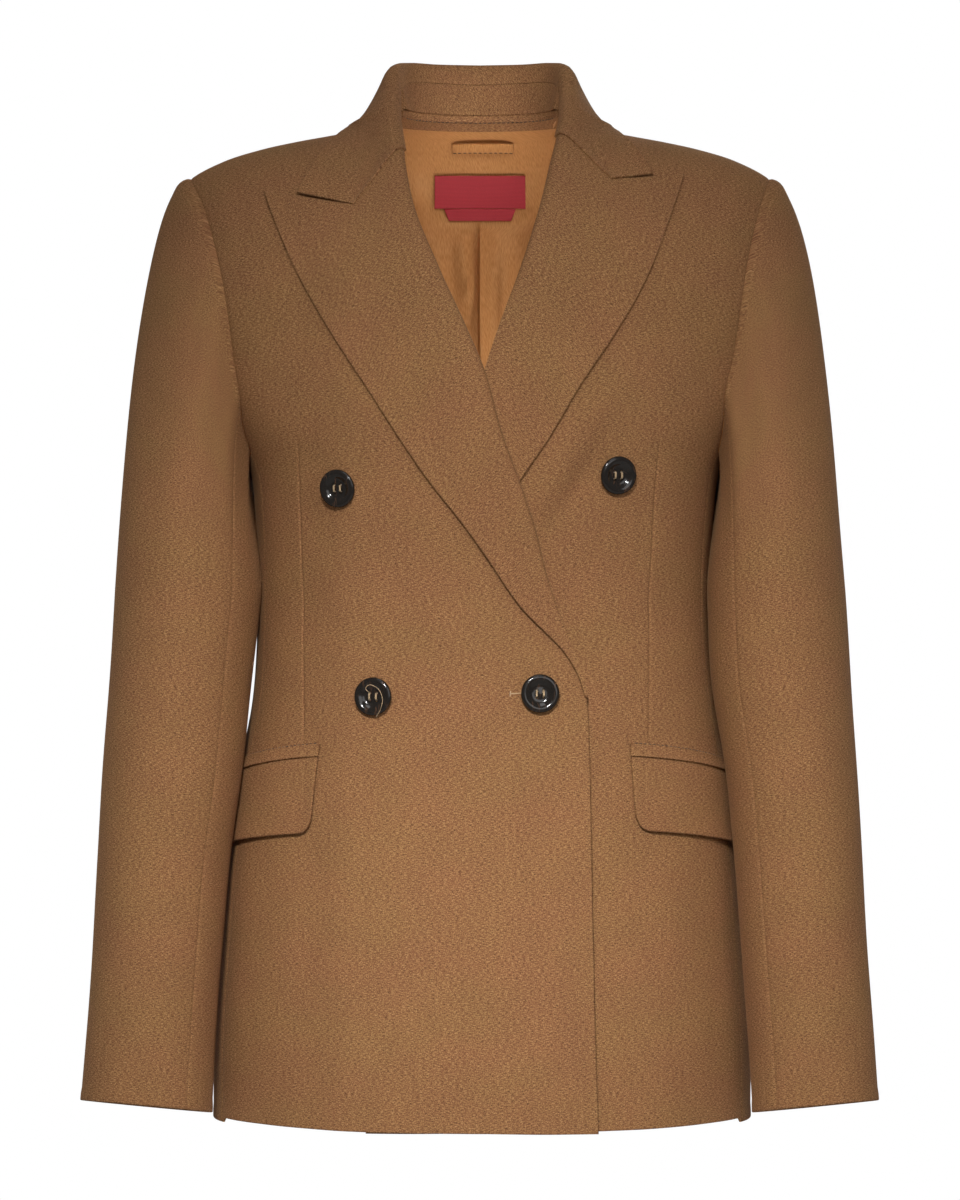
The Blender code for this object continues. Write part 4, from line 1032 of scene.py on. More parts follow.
def cloth_object(name, front, behind, away_from, outside, inside):
    """An object with a front and a back face on two grids, closed all round; inside marks satin."""
    rows, columns = front.shape[:2]
    layer = rows * columns
    corner = (np.arange(rows - 1)[:, None] * columns + np.arange(columns - 1)[None]).ravel()
    quads = np.stack([corner, corner + 1, corner + columns + 1, corner + columns], 1)
    rim = np.concatenate([
        np.arange(columns), np.arange(1, rows) * columns + columns - 1,
        (rows - 1) * columns + np.arange(columns - 2, -1, -1),
        np.arange(rows - 2, 0, -1) * columns,
    ])
    beside = np.roll(rim, -1)
    closing = np.stack([beside, rim, layer + rim, layer + beside], 1)
    faces = np.concatenate([quads, quads[:, ::-1] + layer, closing])
    vertices = np.concatenate([front.reshape(-1, 3), behind.reshape(-1, 3)]) * MM
    a, b, c, d = [vertices[faces[:, k]] for k in range(4)]
    volume = (a * np.cross(b, c)).sum() + (a * np.cross(c, d)).sum()
    if volume < 0:
        faces = faces[:, ::-1]
    mesh = bpy.data.meshes.new(name)
    mesh.from_pydata(vertices.tolist(), [], faces.tolist())
    flat = np.stack([away_from["first"], away_from["bottom"]], -1).reshape(-1, 2) * MM
    weave = mesh.uv_layers.new(name="Weave")
    places = faces.ravel() % layer
    weave.data.foreach_set("uv", flat[places].ravel())
    mesh.materials.append(material(outside))
    if inside is not None:
        kinds = np.zeros(len(faces), int)
        kinds[len(quads):2 * len(quads)] = inside.reshape(-1)[corner]
        mesh.materials.append(material("lining_satin"))
        mesh.polygons.foreach_set("material_index", kinds)
    mesh.shade_smooth()
    mesh.set_sharp_from_angle(angle=1.0)
    return placed(name, mesh)


def placed(name, data):
    """A new object in the scene."""
    made = bpy.data.objects.new(name, data)
    bpy.context.scene.collection.objects.link(made)
    return made


def hang(made, node):
    """Put a finished piece of cloth in place of its node."""
    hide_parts(node)
    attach(made, BODY_NAME)


def satin_inside(*bands):
    """Where a wall's inner face is satin: past the turned-up wool by each listed edge."""
    def kinds(away_from):
        satin = np.ones(away_from["first"].shape, bool)
        for edge, width in bands:
            satin &= away_from[edge] > width
        return satin
    return kinds


# Colours and materials

def linear(hexcode):
    """A linear colour from its sRGB hex code."""
    shares = [int(hexcode[i:i + 2], 16) / 255 for i in (1, 3, 5)]
    return tuple(s / 12.92 if s <= 0.04045 else ((s + 0.055) / 1.055) ** 2.4 for s in shares)


def opaque(hexcode):
    """The same with its opacity, as sockets take it."""
    return (*linear(hexcode), 1.0)


def add(tree, kind, inputs=None, stops=None, **settings):
    """Add a node; each input is a value, an output, or a node for its first output."""
    node = tree.nodes.new(kind)
    for name, value in settings.items():
        setattr(node, name, value)
    for name, value in (inputs or {}).items():
        if isinstance(value, bpy.types.Node):
            value = value.outputs[0]
        if isinstance(value, bpy.types.NodeSocket):
            tree.links.new(value, node.inputs[name])
        else:
            node.inputs[name].default_value = value
    if stops:
        ramp = node.color_ramp.elements
        while len(ramp) < len(stops):
            ramp.new(0.5)
        for element, (position, colour) in zip(ramp, stops):
            element.position = position
            element.color = (*colour[:3], 1.0)
    return node


def material(name):
    """The material of this name, made the first time that it is asked for."""
    made = bpy.data.materials.get(name)
    if made is None:
        made = bpy.data.materials.new(name)
        made.use_nodes = True
        tree = made.node_tree
        tree.nodes.clear()
        surface = MATERIALS[name](tree, bpy.context.scene.blazer_colours)
        add(tree, "ShaderNodeOutputMaterial", {"Surface": surface})
    return made


def combine(tree, operation, first, second):
    """A sum or a product of two values."""
    return add(tree, "ShaderNodeMath", {0: first, 1: second}, operation=operation)


def ramp(tree, value, *stops):
    """Colours by value, at the given stops."""
    return add(tree, "ShaderNodeValToRGB", {"Fac": value}, stops)


def woven_places(tree, across, along):
    """Texture places on the cloth, one unit wide and long at the given sizes in millimetres."""
    flat = add(tree, "ShaderNodeUVMap", uv_map="Weave")
    return add(tree, "ShaderNodeMapping", {
        "Vector": flat, "Scale": (1 / (across * MM), 1 / (along * MM), 1.0)})


def grains(tree, across, along, detail=2.0, roughness=0.5):
    """Noise woven into the cloth, its grains this wide and long in millimetres."""
    return add(tree, "ShaderNodeTexNoise", {
        "Vector": woven_places(tree, across, along), "Scale": 1.0, "Detail": detail,
        "Roughness": roughness}, noise_dimensions="2D")


def varied(tree, noise, least, most):
    """A noise's usual span as another span of values."""
    return add(tree, "ShaderNodeMapRange", {
        "Value": noise, "From Min": 0.3, "From Max": 0.7, "To Min": least, "To Max": most})


def bump(tree, height, strength, distance):
    """Normals of a fine relief."""
    return add(tree, "ShaderNodeBump", {
        "Height": height, "Strength": strength, "Distance": distance})


def surface(tree, colour, roughness, **others):
    """A surface; a space in a setting's name is written as an underscore."""
    inputs = {"Base Color": colour, "Roughness": roughness}
    inputs.update({name.replace("_", " "): value for name, value in others.items()})
    return add(tree, "ShaderNodeBsdfPrincipled", inputs)


def wool_flannel(tree, colours):
    """Brushed wool melange: soft and matt, brown yarn with short light and dark fibres in it."""
    # Yarns are 0.3 mm apart, too fine to show, so the flecks are drawn 0.5 mm wide or long.
    warp = grains(tree, 0.5, 1.1, 1.5, 0.6)
    weft = grains(tree, 2.4, 0.5, 1.5, 0.6)
    fibre = grains(tree, 0.5, 0.5, 2.0, 0.7)
    mixed = combine(tree, "ADD", combine(tree, "ADD", warp, weft), fibre)
    melange = add(tree, "ShaderNodeMapRange", {
        "Value": mixed, "From Min": 1.08, "From Max": 1.92})
    yarn = ramp(tree, melange, (0.14, colours.wool_dark), (0.46, colours.wool),
                (0.56, colours.wool), (0.88, colours.wool_light))
    # The dye lies a little unevenly, over a few centimetres.
    dyed = add(tree, "ShaderNodeHueSaturation", {
        "Color": yarn, "Value": varied(tree, grains(tree, 26.0, 34.0), 0.965, 1.035),
        "Hue": varied(tree, grains(tree, 61.0, 43.0), 0.4965, 0.5035)})
    return surface(tree, dyed, 0.92, Normal=bump(tree, mixed, 0.16, 0.0004),
                   Specular_IOR_Level=0.25, Sheen_Weight=0.12, Sheen_Roughness=0.45,
                   Sheen_Tint=opaque("#D8A878"))


def lining_satin(tree, colours):
    """Copper satin lining: smooth and bright along its folds, with fine lines of floats."""
    # Satin floats are under 0.2 mm, so they are drawn 0.6 mm wide to give the sheen some grain.
    floats = grains(tree, 0.6, 5.0, 1.0)
    tint = ramp(tree, floats, (0.3, colours.satin_dark), (0.7, colours.satin))
    return surface(tree, tint, 0.42, Normal=bump(tree, floats, 0.06, 0.0002),
                   Specular_IOR_Level=0.5, Anisotropic=0.3, Specular_Tint=opaque("#E8B07C"))


def woven_label(tree, colours):
    """Tightly woven red label: fine level ribs that catch a little light."""
    # Picks are 0.15 mm apart, drawn 1 mm apart so that the ribs show.
    ribs = add(tree, "ShaderNodeTexWave", {
        "Vector": woven_places(tree, 40.0, 1.0), "Scale": 0.32, "Distortion": 0.6,
        "Detail": 1.0, "Detail Scale": 2.0}, wave_type="BANDS", bands_direction="Y")
    mixed = combine(tree, "MULTIPLY", ribs.outputs["Fac"], grains(tree, 0.6, 0.6))
    tint = ramp(tree, mixed, (0.05, colours.label_dark), (0.6, colours.label))
    return surface(tree, tint, 0.7, Normal=bump(tree, mixed, 0.4, 0.0002), Sheen_Weight=0.1)


def polished_horn(tree, colours):
    """Polished dark horn: near black and glossy, with faint brown streaks."""
    place = add(tree, "ShaderNodeTexCoord").outputs["Object"]
    # Horn's growth streaks are 2 to 9 mm wide and run slantwise over the button.
    turned = add(tree, "ShaderNodeMapping", {
        "Vector": place, "Rotation": (0.3, 0.5, 0.4), "Scale": (1 / 0.0022, 1 / 0.006, 1 / 0.009)})
    streaks = add(tree, "ShaderNodeTexNoise", {
        "Vector": turned, "Scale": 1.0, "Detail": 3.0, "Distortion": 0.8})
    tint = ramp(tree, streaks, (0.4, colours.horn), (0.58, colours.horn),
                (0.78, colours.horn_streak))
    return surface(tree, tint, 0.14, IOR=1.5, Specular_IOR_Level=0.45)


def spun_thread(tree, colour):
    """Spun polyester thread: matt, with the slanting lines of its plies."""
    # Plies lie 0.5 mm apart along the thread.
    plies = add(tree, "ShaderNodeTexWave", {
        "Vector": add(tree, "ShaderNodeTexCoord").outputs["Object"], "Scale": 700.0,
        "Distortion": 1.5}, wave_type="BANDS", bands_direction="DIAGONAL")
    tint = ramp(tree, plies.outputs["Fac"], (0.1, [0.6 * c for c in colour]), (0.8, colour))
    return surface(tree, tint, 0.75, Sheen_Weight=0.2)


def studio_paper(tree, colours):
    """Matt white studio paper that fades into the room's light at its edge."""
    place = add(tree, "ShaderNodeTexCoord").outputs["Object"]
    flat = add(tree, "ShaderNodeMapping", {"Vector": place, "Scale": (1.0, 1.0, 0.0)})
    reach = add(tree, "ShaderNodeVectorMath", {0: flat}, operation="LENGTH")
    fade = add(tree, "ShaderNodeMapRange", {
        "Value": reach.outputs["Value"], "From Min": 1.6, "From Max": 3.4})
    grain = add(tree, "ShaderNodeTexNoise", {"Vector": place, "Scale": 60.0, "Detail": 3.0})
    tint = ramp(tree, grain, (0.3, linear("#F4F3F1")), (0.7, linear("#FAF9F8")))
    # Seen directly the paper glows a little, so that it stays pale in the dim room light.
    glow = combine(tree, "MULTIPLY", add(tree, "ShaderNodeLightPath"), 0.55)
    paper = surface(tree, tint, 0.95, Emission_Color=tint, Emission_Strength=glow)
    return add(tree, "ShaderNodeMixShader", {
        0: fade, 1: paper, 2: add(tree, "ShaderNodeBsdfTransparent")})


MATERIALS = {
    "wool_flannel": wool_flannel, "lining_satin": lining_satin, "woven_label": woven_label,
    "polished_horn": polished_horn, "studio_paper": studio_paper,
    "button_thread": lambda tree, colours: spun_thread(tree, colours.thread),
    "seam_thread": lambda tree, colours: spun_thread(tree, colours.seam_thread),
}


# Settings in the sidebar

def amount(name, description, default, unit="LENGTH"):
    return bpy.props.FloatProperty(
        name=name, description=description, default=default, unit=unit)


def colour(name, description, hexcode):
    return bpy.props.FloatVectorProperty(
        name=name, description=description, subtype="COLOR", size=3, default=linear(hexcode))


class BlazerCloth(bpy.types.PropertyGroup):
    seam_depth: amount("Seam depth", "How far a seam is pressed into the cloth", 0.0005)
    edge_swell: amount("Edge swell", "How far cloth stands up over a turned-in edge", 0.0004)


class BlazerColours(bpy.types.PropertyGroup):
    wool: colour("Wool", "Main colour of the cloth", "#8A5F3C")
    wool_light: colour("Wool, light fibres", "Lightest fibres in the cloth", "#B2895C")
    wool_dark: colour("Wool, dark fibres", "Darkest fibres in the cloth", "#5A3A23")
    satin: colour("Satin", "Colour of the lining", "#C28B57")
    satin_dark: colour("Satin, dark", "Colour between the lining's threads", "#AC7745")
    label: colour("Label", "Colour of the woven label", "#BA2B34")
    label_dark: colour("Label, dark", "Colour between the label's ribs", "#9C1E2A")
    horn: colour("Horn", "Main colour of the buttons", "#1C1713")
    horn_streak: colour("Horn, streaks", "Streaks in the buttons", "#4A3324")
    thread: colour("Button thread", "Thread that holds the buttons", "#C0A27C")
    seam_thread: colour("Seam thread", "Thread of the stitched rows", "#3A2617")


class BlazerStitches(bpy.types.PropertyGroup):
    length: amount("Stitch length", "Length of one stitch", 0.0026)
    gap: amount("Stitch gap", "Distance between two stitches", 0.0007)
    width: amount("Thread width", "Width of the thread", 0.0006)


class BlazerStage(bpy.types.PropertyGroup):
    floor_height: amount("Floor height", "Height of the floor below the collar", -1.4)
    distance: amount("Camera distance", "How far the camera stands in front", 3.2)
    sky: amount("Room light", "Strength of the even light all round", 0.21, "NONE")
    key: amount("Key light", "Power of the beam on the lower front", 1.5, "POWER")
    fill: amount("Fill light", "Power of the large lamp on one side", 9.0, "POWER")
    neck: amount("Neck light", "Power of the small lamp on the lining", 0.168, "POWER")
    back: amount("Back light", "Power of the large lamp behind", 14.0, "POWER")
    top: amount("Top light", "Power of the lamp above the shoulders", 5.0, "POWER")


# Pieces


def panel(kind, side, grid, rows, columns):
    """A side panel or half of the back, sewn to the pieces round it above its hem."""
    points, normals = on_form(grid)
    lean_armhole(points, normals, side, rows, columns)
    made = cloth("%s_%s_cloth" % (kind, side), pull_in(points, "top first last"), normals,
                 folded="bottom", seams="first last top",
                 inside=satin_inside(("bottom", WOOL_INSIDE)))
    hang(made, kind + "_" + side)


class MakeFronts(bpy.types.Operator):
    """Make the two fronts, each with its waist dart."""
    bl_idname = "blazer.make_fronts"
    bl_label = "Fronts"

    def execute(self, context):
        for side in SIDES:
            grid, from_dart = with_dart(front_panel(side), side)
            points, normals = on_form(grid, on_right=side == "right")
            lean_armhole(points, normals, side, ARMHOLE_ROWS, -1)
            heights = points[..., 2]
            sewn = blend(*DART_FOOT, heights) * (1 - blend(*DART_HEAD, heights))
            groove = -DART_DEPTH * sewn * np.exp(-(from_dart / DART_WIDTH) ** 2)
            made = cloth("front_%s_cloth" % side, pull_in(points, "top last"), normals,
                         folded="first bottom", seams="last top", relief=groove[..., None],
                         inside=satin_inside(("bottom", WOOL_INSIDE), ("first", FACING_WIDTH)))
            hang(made, "front_" + side)
        return {"FINISHED"}


def with_dart(grid, side):
    """The grid with one column led along the dart, and each place's distance from the dart."""
    rows, columns = grid.shape[:2]
    points = form(grid[..., 0], grid[..., 1])
    seam_x = np.interp(points[:, 0, 2], [d.height for d in DART],
                       [getattr(d, side) for d in DART])
    sign = SIDES[side]
    crossing = np.array([np.interp(sign * x, sign * line, np.arange(columns))
                         for x, line in zip(seam_x, points[..., 0])])
    middle = int(round(crossing.mean()))
    step = np.abs(np.diff(points[rows // 3, :, 0])).mean()
    beside = [d / step for d in DART_STEPS]
    places = np.array(sorted(list(range(columns)) + [middle + b for b in beside]
                             + [middle - b for b in beside]))
    made = []
    for line, at in zip(grid, crossing):
        bent = np.interp(places, [0, middle, columns - 1], [0, at, columns - 1])
        made.append(at_places(line, bent, 0))
    made = np.array(made)
    from_dart = np.broadcast_to(np.abs(places - middle) * step, made.shape[:2])
    return made, from_dart


class MakeSides(bpy.types.Operator):
    """Make the two side panels under the arms."""
    bl_idname = "blazer.make_sides"
    bl_label = "Side panels"

    def execute(self, context):
        for side in SIDES:
            panel("side", side, side_panel(side), -1, slice(None))
        return {"FINISHED"}


class MakeBacks(bpy.types.Operator):
    """Make the two halves of the back, with the seam between them."""
    bl_idname = "blazer.make_backs"
    bl_label = "Back"

    def execute(self, context):
        for side in SIDES:
            panel("back", side, back_panel(side), ARMHOLE_ROWS, 0)
        return {"FINISHED"}


def lean_armhole(points, normals, side, rows, columns):
    """Lean the normals at a panel's armhole edge, as the sleeve's are."""
    loop = armhole_loop(side)
    edge = points[rows, columns]
    normals[rows, columns] = toward_centre(edge, loop.mean(0), normals[rows, columns])


class MakeSleeves(bpy.types.Operator):
    """Make the sleeves, each of a top and an under piece."""
    bl_idname = "blazer.make_sleeves"
    bl_label = "Sleeves"

    def execute(self, context):
        for side in SIDES:
            points, normals = sleeve(side)
            from_armhole = distances(points)["top"]
            relief = sleeve_relief(points, normals, from_armhole)
            points = points + normals * relief[..., None]
            order = list(range(UNDER_TO, points.shape[1])) + list(range(1, UNDER_FROM + 1))
            for name, columns in (("sleeve_under", slice(UNDER_FROM, UNDER_TO + 1)),
                                  ("sleeve_top", order)):
                made = cloth("%s_%s_cloth" % (name, side),
                             pull_in(points[:, columns], "first last"), normals[:, columns],
                             folded="bottom", seams="first last top",
                             inside=satin_inside(("bottom", WOOL_INSIDE)))
                hang(made, "%s_%s" % (name, side))
        return {"FINISHED"}


class MakeLapels(bpy.types.Operator):
    """Make the peak lapels, folded back on the fronts."""
    bl_idname = "blazer.make_lapels"
    bl_label = "Lapels"

    def execute(self, context):
        for side in SIDES:
            points, normals = lapel(side)
            made = cloth("lapel_%s_cloth" % side, pull_in(points, "top"), normals,
                         folded="last bottom top")
            hang(made, "lapel_" + side)
        return {"FINISHED"}


class MakeCollar(bpy.types.Operator):
    """Make the collar's fall and stand, with the stitched row along the top of the stand."""
    bl_idname = "blazer.make_collar"
    bl_label = "Collar"

    def execute(self, context):
        points = both_halves(collar_sections)
        normals = grid_normals(points, 1)
        fall = cloth("collar_fall_cloth", pull_in(points, "bottom top"), normals,
                     folded="last bottom top", seams="first")
        foot = both_halves(stand_foot)
        seam = points[:, 0]
        seam = seam + unit(foot - seam) * GAP
        shares = evenly(STAND_ROWS)[:, None]
        stand = foot[:, None] + (seam - foot)[:, None] * shares
        stand_normals = grid_normals(stand, 1)
        stand_normals[:, -1] = normals[:, 0]
        ends = slice(STAND_ENDS, -STAND_ENDS)
        made = cloth("collar_stand_cloth", stand[ends], stand_normals[ends],
                     seams="first last")
        line = stand[ends][3:-3, -1] + stand_normals[ends][3:-3, -1] * STAND_ROW_OUT
        row = stitched("stitches_stand", line - np.array([0.0, 0.0, STAND_ROW_DOWN]))
        hang(made, "collar_stand")
        hang(fall, "collar_fall")
        return {"FINISHED"}


def back_lining(points, normals, neck):
    """Points and normals of the satin, from the back's own grids, with close columns at its pleat."""
    count = points.shape[1]
    share = np.full(count, LINING_SHOULDER)
    share[neck] = LINING_NECK
    columns = np.arange(count - 2)
    places = np.sort(np.append(columns, len(columns) // 2 - np.array(PLEAT_STEPS)))
    grids = []
    for grid in (points, normals):
        top = grid[-1 - LINING_STEPS] * (1 - share)[:, None] + grid[-1] * share[:, None]
        grid = np.concatenate([grid[1:-1 - LINING_STEPS], top[None]])[:, 1:-1]
        grids.append(at_places(grid, places, 1))
    lining, normals = grids[0], unit(grids[1])
    inward = CLOTH + GAP + LINING + lining_relief(lining)
    return lining - normals * inward[..., None], -normals


def facing_round_neck(points, normals):
    """Points of the facing, from its level lower edge up to where it laps the stand's foot."""
    rows = points - normals * FACING_IN
    index = np.arange(len(rows))
    lowest = [np.interp(FACING_BOTTOM, z, index) for z in rows[..., 2].T]
    places = np.linspace(lowest, index[-1], FACING_ROWS).T
    strip = np.stack([traced(rows[:, k], index, at) for k, at in enumerate(places)], 1)
    foot = both_halves(stand_foot) * np.array([FACING_LAP, FACING_LAP, 1.0])
    lap = traced(foot, np.arctan2(foot[:, 0], foot[:, 1]),
                 np.arctan2(strip[-1, :, 0], strip[-1, :, 1]))
    return np.concatenate([strip, lap[None]])


class MakeLining(bpy.types.Operator):
    """Make the satin back lining, with its centre pleat, and the facing round the neck."""
    bl_idname = "blazer.make_lining"
    bl_label = "Lining"

    def execute(self, context):
        points, normals = back_grid()
        neck = slice(BACK_COLUMNS + 1, points.shape[1] - BACK_COLUMNS - 1)
        satin, satin_normals = back_lining(points, normals, neck)
        made = cloth("lining_back_satin", satin, satin_normals, thickness=LINING,
                     folded="bottom", outside="lining_satin")
        hang(made, "lining_back")
        high = slice(-1 - 3 * LINING_STEPS, None)
        face = facing_round_neck(points[high, neck], normals[high, neck])
        face_normals = grid_normals(face, 1)
        row = stitched("stitches_facing", (face[-2] + face_normals[-2] * FACING_ROW_OUT)[4:-4])
        made = cloth("neck_facing_cloth", face, face_normals, thickness=LINING,
                     folded="bottom top")
        hang(made, "neck_facing")
        return {"FINISHED"}


class MakeLabel(bpy.types.Operator):
    """Make the bare woven label with its tab, and the hanger loop above it."""
    bl_idname = "blazer.make_label"
    bl_label = "Label and loop"

    def execute(self, context):
        lift = FACET_ROOM + LABEL_THICK
        for name, half, low, high in (
            ("label", LABEL_HALF, LABEL_BOTTOM, LABEL_TOP),
            ("label_tab", TAB_HALF, TAB_BOTTOM, LABEL_BOTTOM - GAP),
        ):
            x, height = np.meshgrid(np.linspace(-half, half, 40), np.linspace(low, high, 14))
            if name == "label_tab":
                x = x * (1 - TAB_TAPER + TAB_TAPER * (height - low) / (high - low))
            points, normals = on_lining(x, height, lift)
            made = cloth(name + "_woven", points, normals, thickness=LABEL_THICK,
                         folded="first last top bottom", outside="woven_label")
            hang(made, name)
        x, height = np.meshgrid(np.linspace(LOOP_FROM, LOOP_TO, 48),
                                np.linspace(LOOP_BOTTOM, LOOP_TOP, 6))
        bow = LOOP_BOW * (1 - (2 * (x - LOOP_FROM) / (LOOP_TO - LOOP_FROM) - 1) ** 4)
        points, normals = on_lining(x, height, LOOP_ROOM + LINING)
        points[..., 1] -= bow
        row = stitched("stitches_loop", points[0, 2:-2] + normals[0, 2:-2] * LOOP_ROW_OUT)
        made = cloth("hanger_loop_satin", points, normals, thickness=LINING,
                     folded="top bottom first last", outside="lining_satin")
        hang(made, "hanger_loop")
        return {"FINISHED"}


class MakePockets(bpy.types.Operator):
    """Make the jets and flaps of the two pockets, with a dark stitched row along each jet that also
    paints the shadow of its crease.
    """
    bl_idname = "blazer.make_pockets"
    bl_label = "Pockets"

    def execute(self, context):
        for side in SIDES:
            pocket = POCKET[side]
            t = evenly(FLAP_COLUMNS)
            first = turn_at(pocket.front_x, pocket.top_front)
            turns = first + (pocket.back_turn - first) * t
            top = pocket.top_front + (pocket.top_back - pocket.top_front) * t ** FLAP_BEND
            bottom = (pocket.bottom_front
                      + (pocket.bottom_back - pocket.bottom_front) * t ** FLAP_BEND)
            from_end = np.minimum(t, 1 - t) * FLAP_LENGTH
            within = np.maximum(FLAP_CORNER - from_end, 0)
            bottom = bottom + FLAP_CORNER - np.sqrt(FLAP_CORNER ** 2 - within ** 2)
            down = evenly(FLAP_ROWS)[:, None]
            curl = FLAP_CURL * (down ** 3 * np.ones_like(t) - (1 - blend(0, 0.12, down)))
            made = cloth_on("flap_%s_cloth" % side, turns, top + (bottom - top) * down, side,
                            CLOTH + ON_PANEL, curl=curl, folded="first last top")
            hang(made, "flap_" + side)
            down = evenly(WELT_ROWS)[:, None]
            upper = top + WELT_HEIGHT + GAP
            made = cloth_on("welt_%s_cloth" % side, turns, upper - (WELT_HEIGHT + WELT_LAP) * down,
                            side, WELT_PROUD + ON_PANEL, WELT_PROUD,
                            curl=WELT_CURL * down ** 2 * np.ones_like(t),
                            folded="first last top bottom")
            # A row of dark seam thread along the jet's top edge: real stitching, and also a painted
            # shadow for the crease there.
            row, _ = laid(turns[2:-1], rise_at(turns[2:-1], upper[2:-1] + GAP), WELT_ROW_SHADOW_OUT,
                          on_right=side == "right")
            row = stitched("stitches_and_painted_shadow_welt_" + side, row)
            hang(made, "welt_" + side)
        return {"FINISHED"}


def cloth_on(name, turns, heights, side, out, thickness=CLOTH, curl=0.0, folded=""):
    """A wall of cloth that lies on a front; its rows run down, so top is its lower edge."""
    points, normals = laid(turns, rise_at(turns, heights), out + curl, on_right=side == "right")
    return cloth(name, points, normals, thickness=thickness, folded=folded)


class MakeButtons(bpy.types.Operator):
    """Make the four horn buttons with their thread, and the end of the buttonhole."""
    bl_idname = "blazer.make_buttons"
    bl_label = "Buttons"

    def execute(self, context):
        for button in BUTTONS:
            turn, rise = seen(button.x, button.height)
            point, normal = laid(turn, rise, BUTTON_SEAT, on_right=button.side == "right")
            place = Vector(normal).to_track_quat("Z", "Y").to_matrix().to_4x4()
            place.translation = Vector(point * MM)
            made = turned_button(button.name + "_horn", place)
            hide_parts(button.name)
            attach(made, BODY_NAME)
            thread = button_stitching(button.name + "_thread", place, STRAY.get(button.name))
            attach(thread, BODY_NAME)
        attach(buttonhole_end("buttonhole_thread"), BODY_NAME)
        return {"FINISHED"}


def buttonhole_end(name):
    """The sewn end of the buttonhole, beside the fastened button."""
    shape = bmesh.new()
    for x_from, z_from, x_to, z_to in BUTTONHOLE:
        x, z = np.linspace(x_from, x_to, 9), np.linspace(z_from, z_to, 9)
        points, _ = laid(*seen(x, z), 0.25, on_right=True)
        tube(shape, [Vector(p * MM) for p in points], HOLE_THREAD * MM, 8)
    return mesh_object(name, shape, "button_thread")


def turned_button(name, place):
    """A four-hole button turned from one profile, dished in its face."""
    outline = bmesh.new()
    radii, heights = np.array(BUTTON_PROFILE, float).T
    lengths = np.append(0, np.cumsum(np.hypot(np.diff(radii), np.diff(heights))))
    at = np.linspace(0, lengths[-1], 44)
    radii, heights = smooth(lengths, radii, at), smooth(lengths, heights, at)
    radii[0] = radii[-1] = 0.0
    points = [outline.verts.new((max(r, 0) * MM, 0, z * MM)) for r, z in zip(radii, heights)]
    for a, b in zip(points, points[1:]):
        outline.edges.new((a, b))
    bmesh.ops.spin(outline, geom=outline.verts[:] + outline.edges[:], cent=(0, 0, 0),
                   axis=(0, 0, 1), angle=2 * np.pi, steps=BUTTON_STEPS)
    bmesh.ops.remove_doubles(outline, verts=outline.verts, dist=1e-6)
    bmesh.ops.recalc_face_normals(outline, faces=outline.faces)
    blank = mesh_object(name, outline, "polished_horn")
    cut = bmesh.new()
    for x in (-1, 1):
        for y in (-1, 1):
            hole = Matrix.Translation((x * BUTTON_HOLE_SPACING * MM,
                                       y * BUTTON_HOLE_SPACING * MM, 1 * MM))
            bmesh.ops.create_cone(cut, cap_ends=True, segments=20, radius1=BUTTON_HOLE * MM,
                                  radius2=BUTTON_HOLE * MM, depth=8 * MM, matrix=hole)
    cutter = mesh_object(name + "_holes", cut, "polished_horn")
    holes = blank.modifiers.new("Holes", "BOOLEAN")
    holes.object = cutter
    holes.operation = "DIFFERENCE"
    holes.solver = "EXACT"
    made = plain(blank)
    bpy.data.objects.remove(cutter)
    made.data.transform(place)
    made.data.shade_smooth()
    made.data.set_sharp_from_angle(angle=0.6)
    return made


def mesh_object(name, shape, finish):
    """An object from a bmesh, with one material."""
    mesh = bpy.data.meshes.new(name)
    shape.to_mesh(mesh)
    shape.free()
    mesh.shade_smooth()
    mesh.materials.append(material(finish))
    return placed(name, mesh)


def plain(made):
    """The object with its modifiers turned into a plain mesh."""
    graph = bpy.context.evaluated_depsgraph_get()
    mesh = bpy.data.meshes.new_from_object(made.evaluated_get(graph))
    made.modifiers.clear()
    made.data = mesh
    return made


def button_stitching(name, place, stray=None):
    """Two bands of thread, each over two holes, and a loose end if the button has one."""
    shape = bmesh.new()
    span = BUTTON_HOLE_SPACING
    for side in (-1, 1):
        for strand in (-0.4, 0.0, 0.4):
            path = []
            for t in np.linspace(-1, 1, 13):
                arch = 2.3 + 0.8 * (1 - t ** 6) - 6.0 * max(abs(t) - 0.8, 0)
                path.append(Vector((side * span + strand, (t + 0.12 * strand) * span, arch)) * MM)
            tube(shape, path, THREAD * MM, 8)
    if stray:
        keys, at = np.linspace(0, 1, len(stray)), np.linspace(0, 1, 40)
        path = np.stack([smooth(keys, values, at) for values in zip(*stray)], -1)
        tube(shape, [Vector(p) * MM for p in path], STRAY_THREAD * MM, 6)
    made = mesh_object(name, shape, "button_thread")
    made.data.transform(place)
    return made


def tube(shape, path, radius, sides):
    """Add a closed round tube along a path to a bmesh."""
    rings = []
    for i, point in enumerate(path):
        ahead = path[min(i + 1, len(path) - 1)] - path[max(i - 1, 0)]
        frame_here = ahead.to_track_quat("Z", "Y").to_matrix()
        ring = []
        for a in np.linspace(0, 2 * np.pi, sides, endpoint=False):
            ring.append(shape.verts.new(
                point + frame_here @ Vector((np.cos(a), np.sin(a), 0)) * radius))
        rings.append(ring)
    for low, high in zip(rings, rings[1:]):
        for k in range(sides):
            shape.faces.new((low[k], low[(k + 1) % sides], high[(k + 1) % sides], high[k]))
    shape.faces.new(rings[0][::-1])
    shape.faces.new(rings[-1])


# Stitches

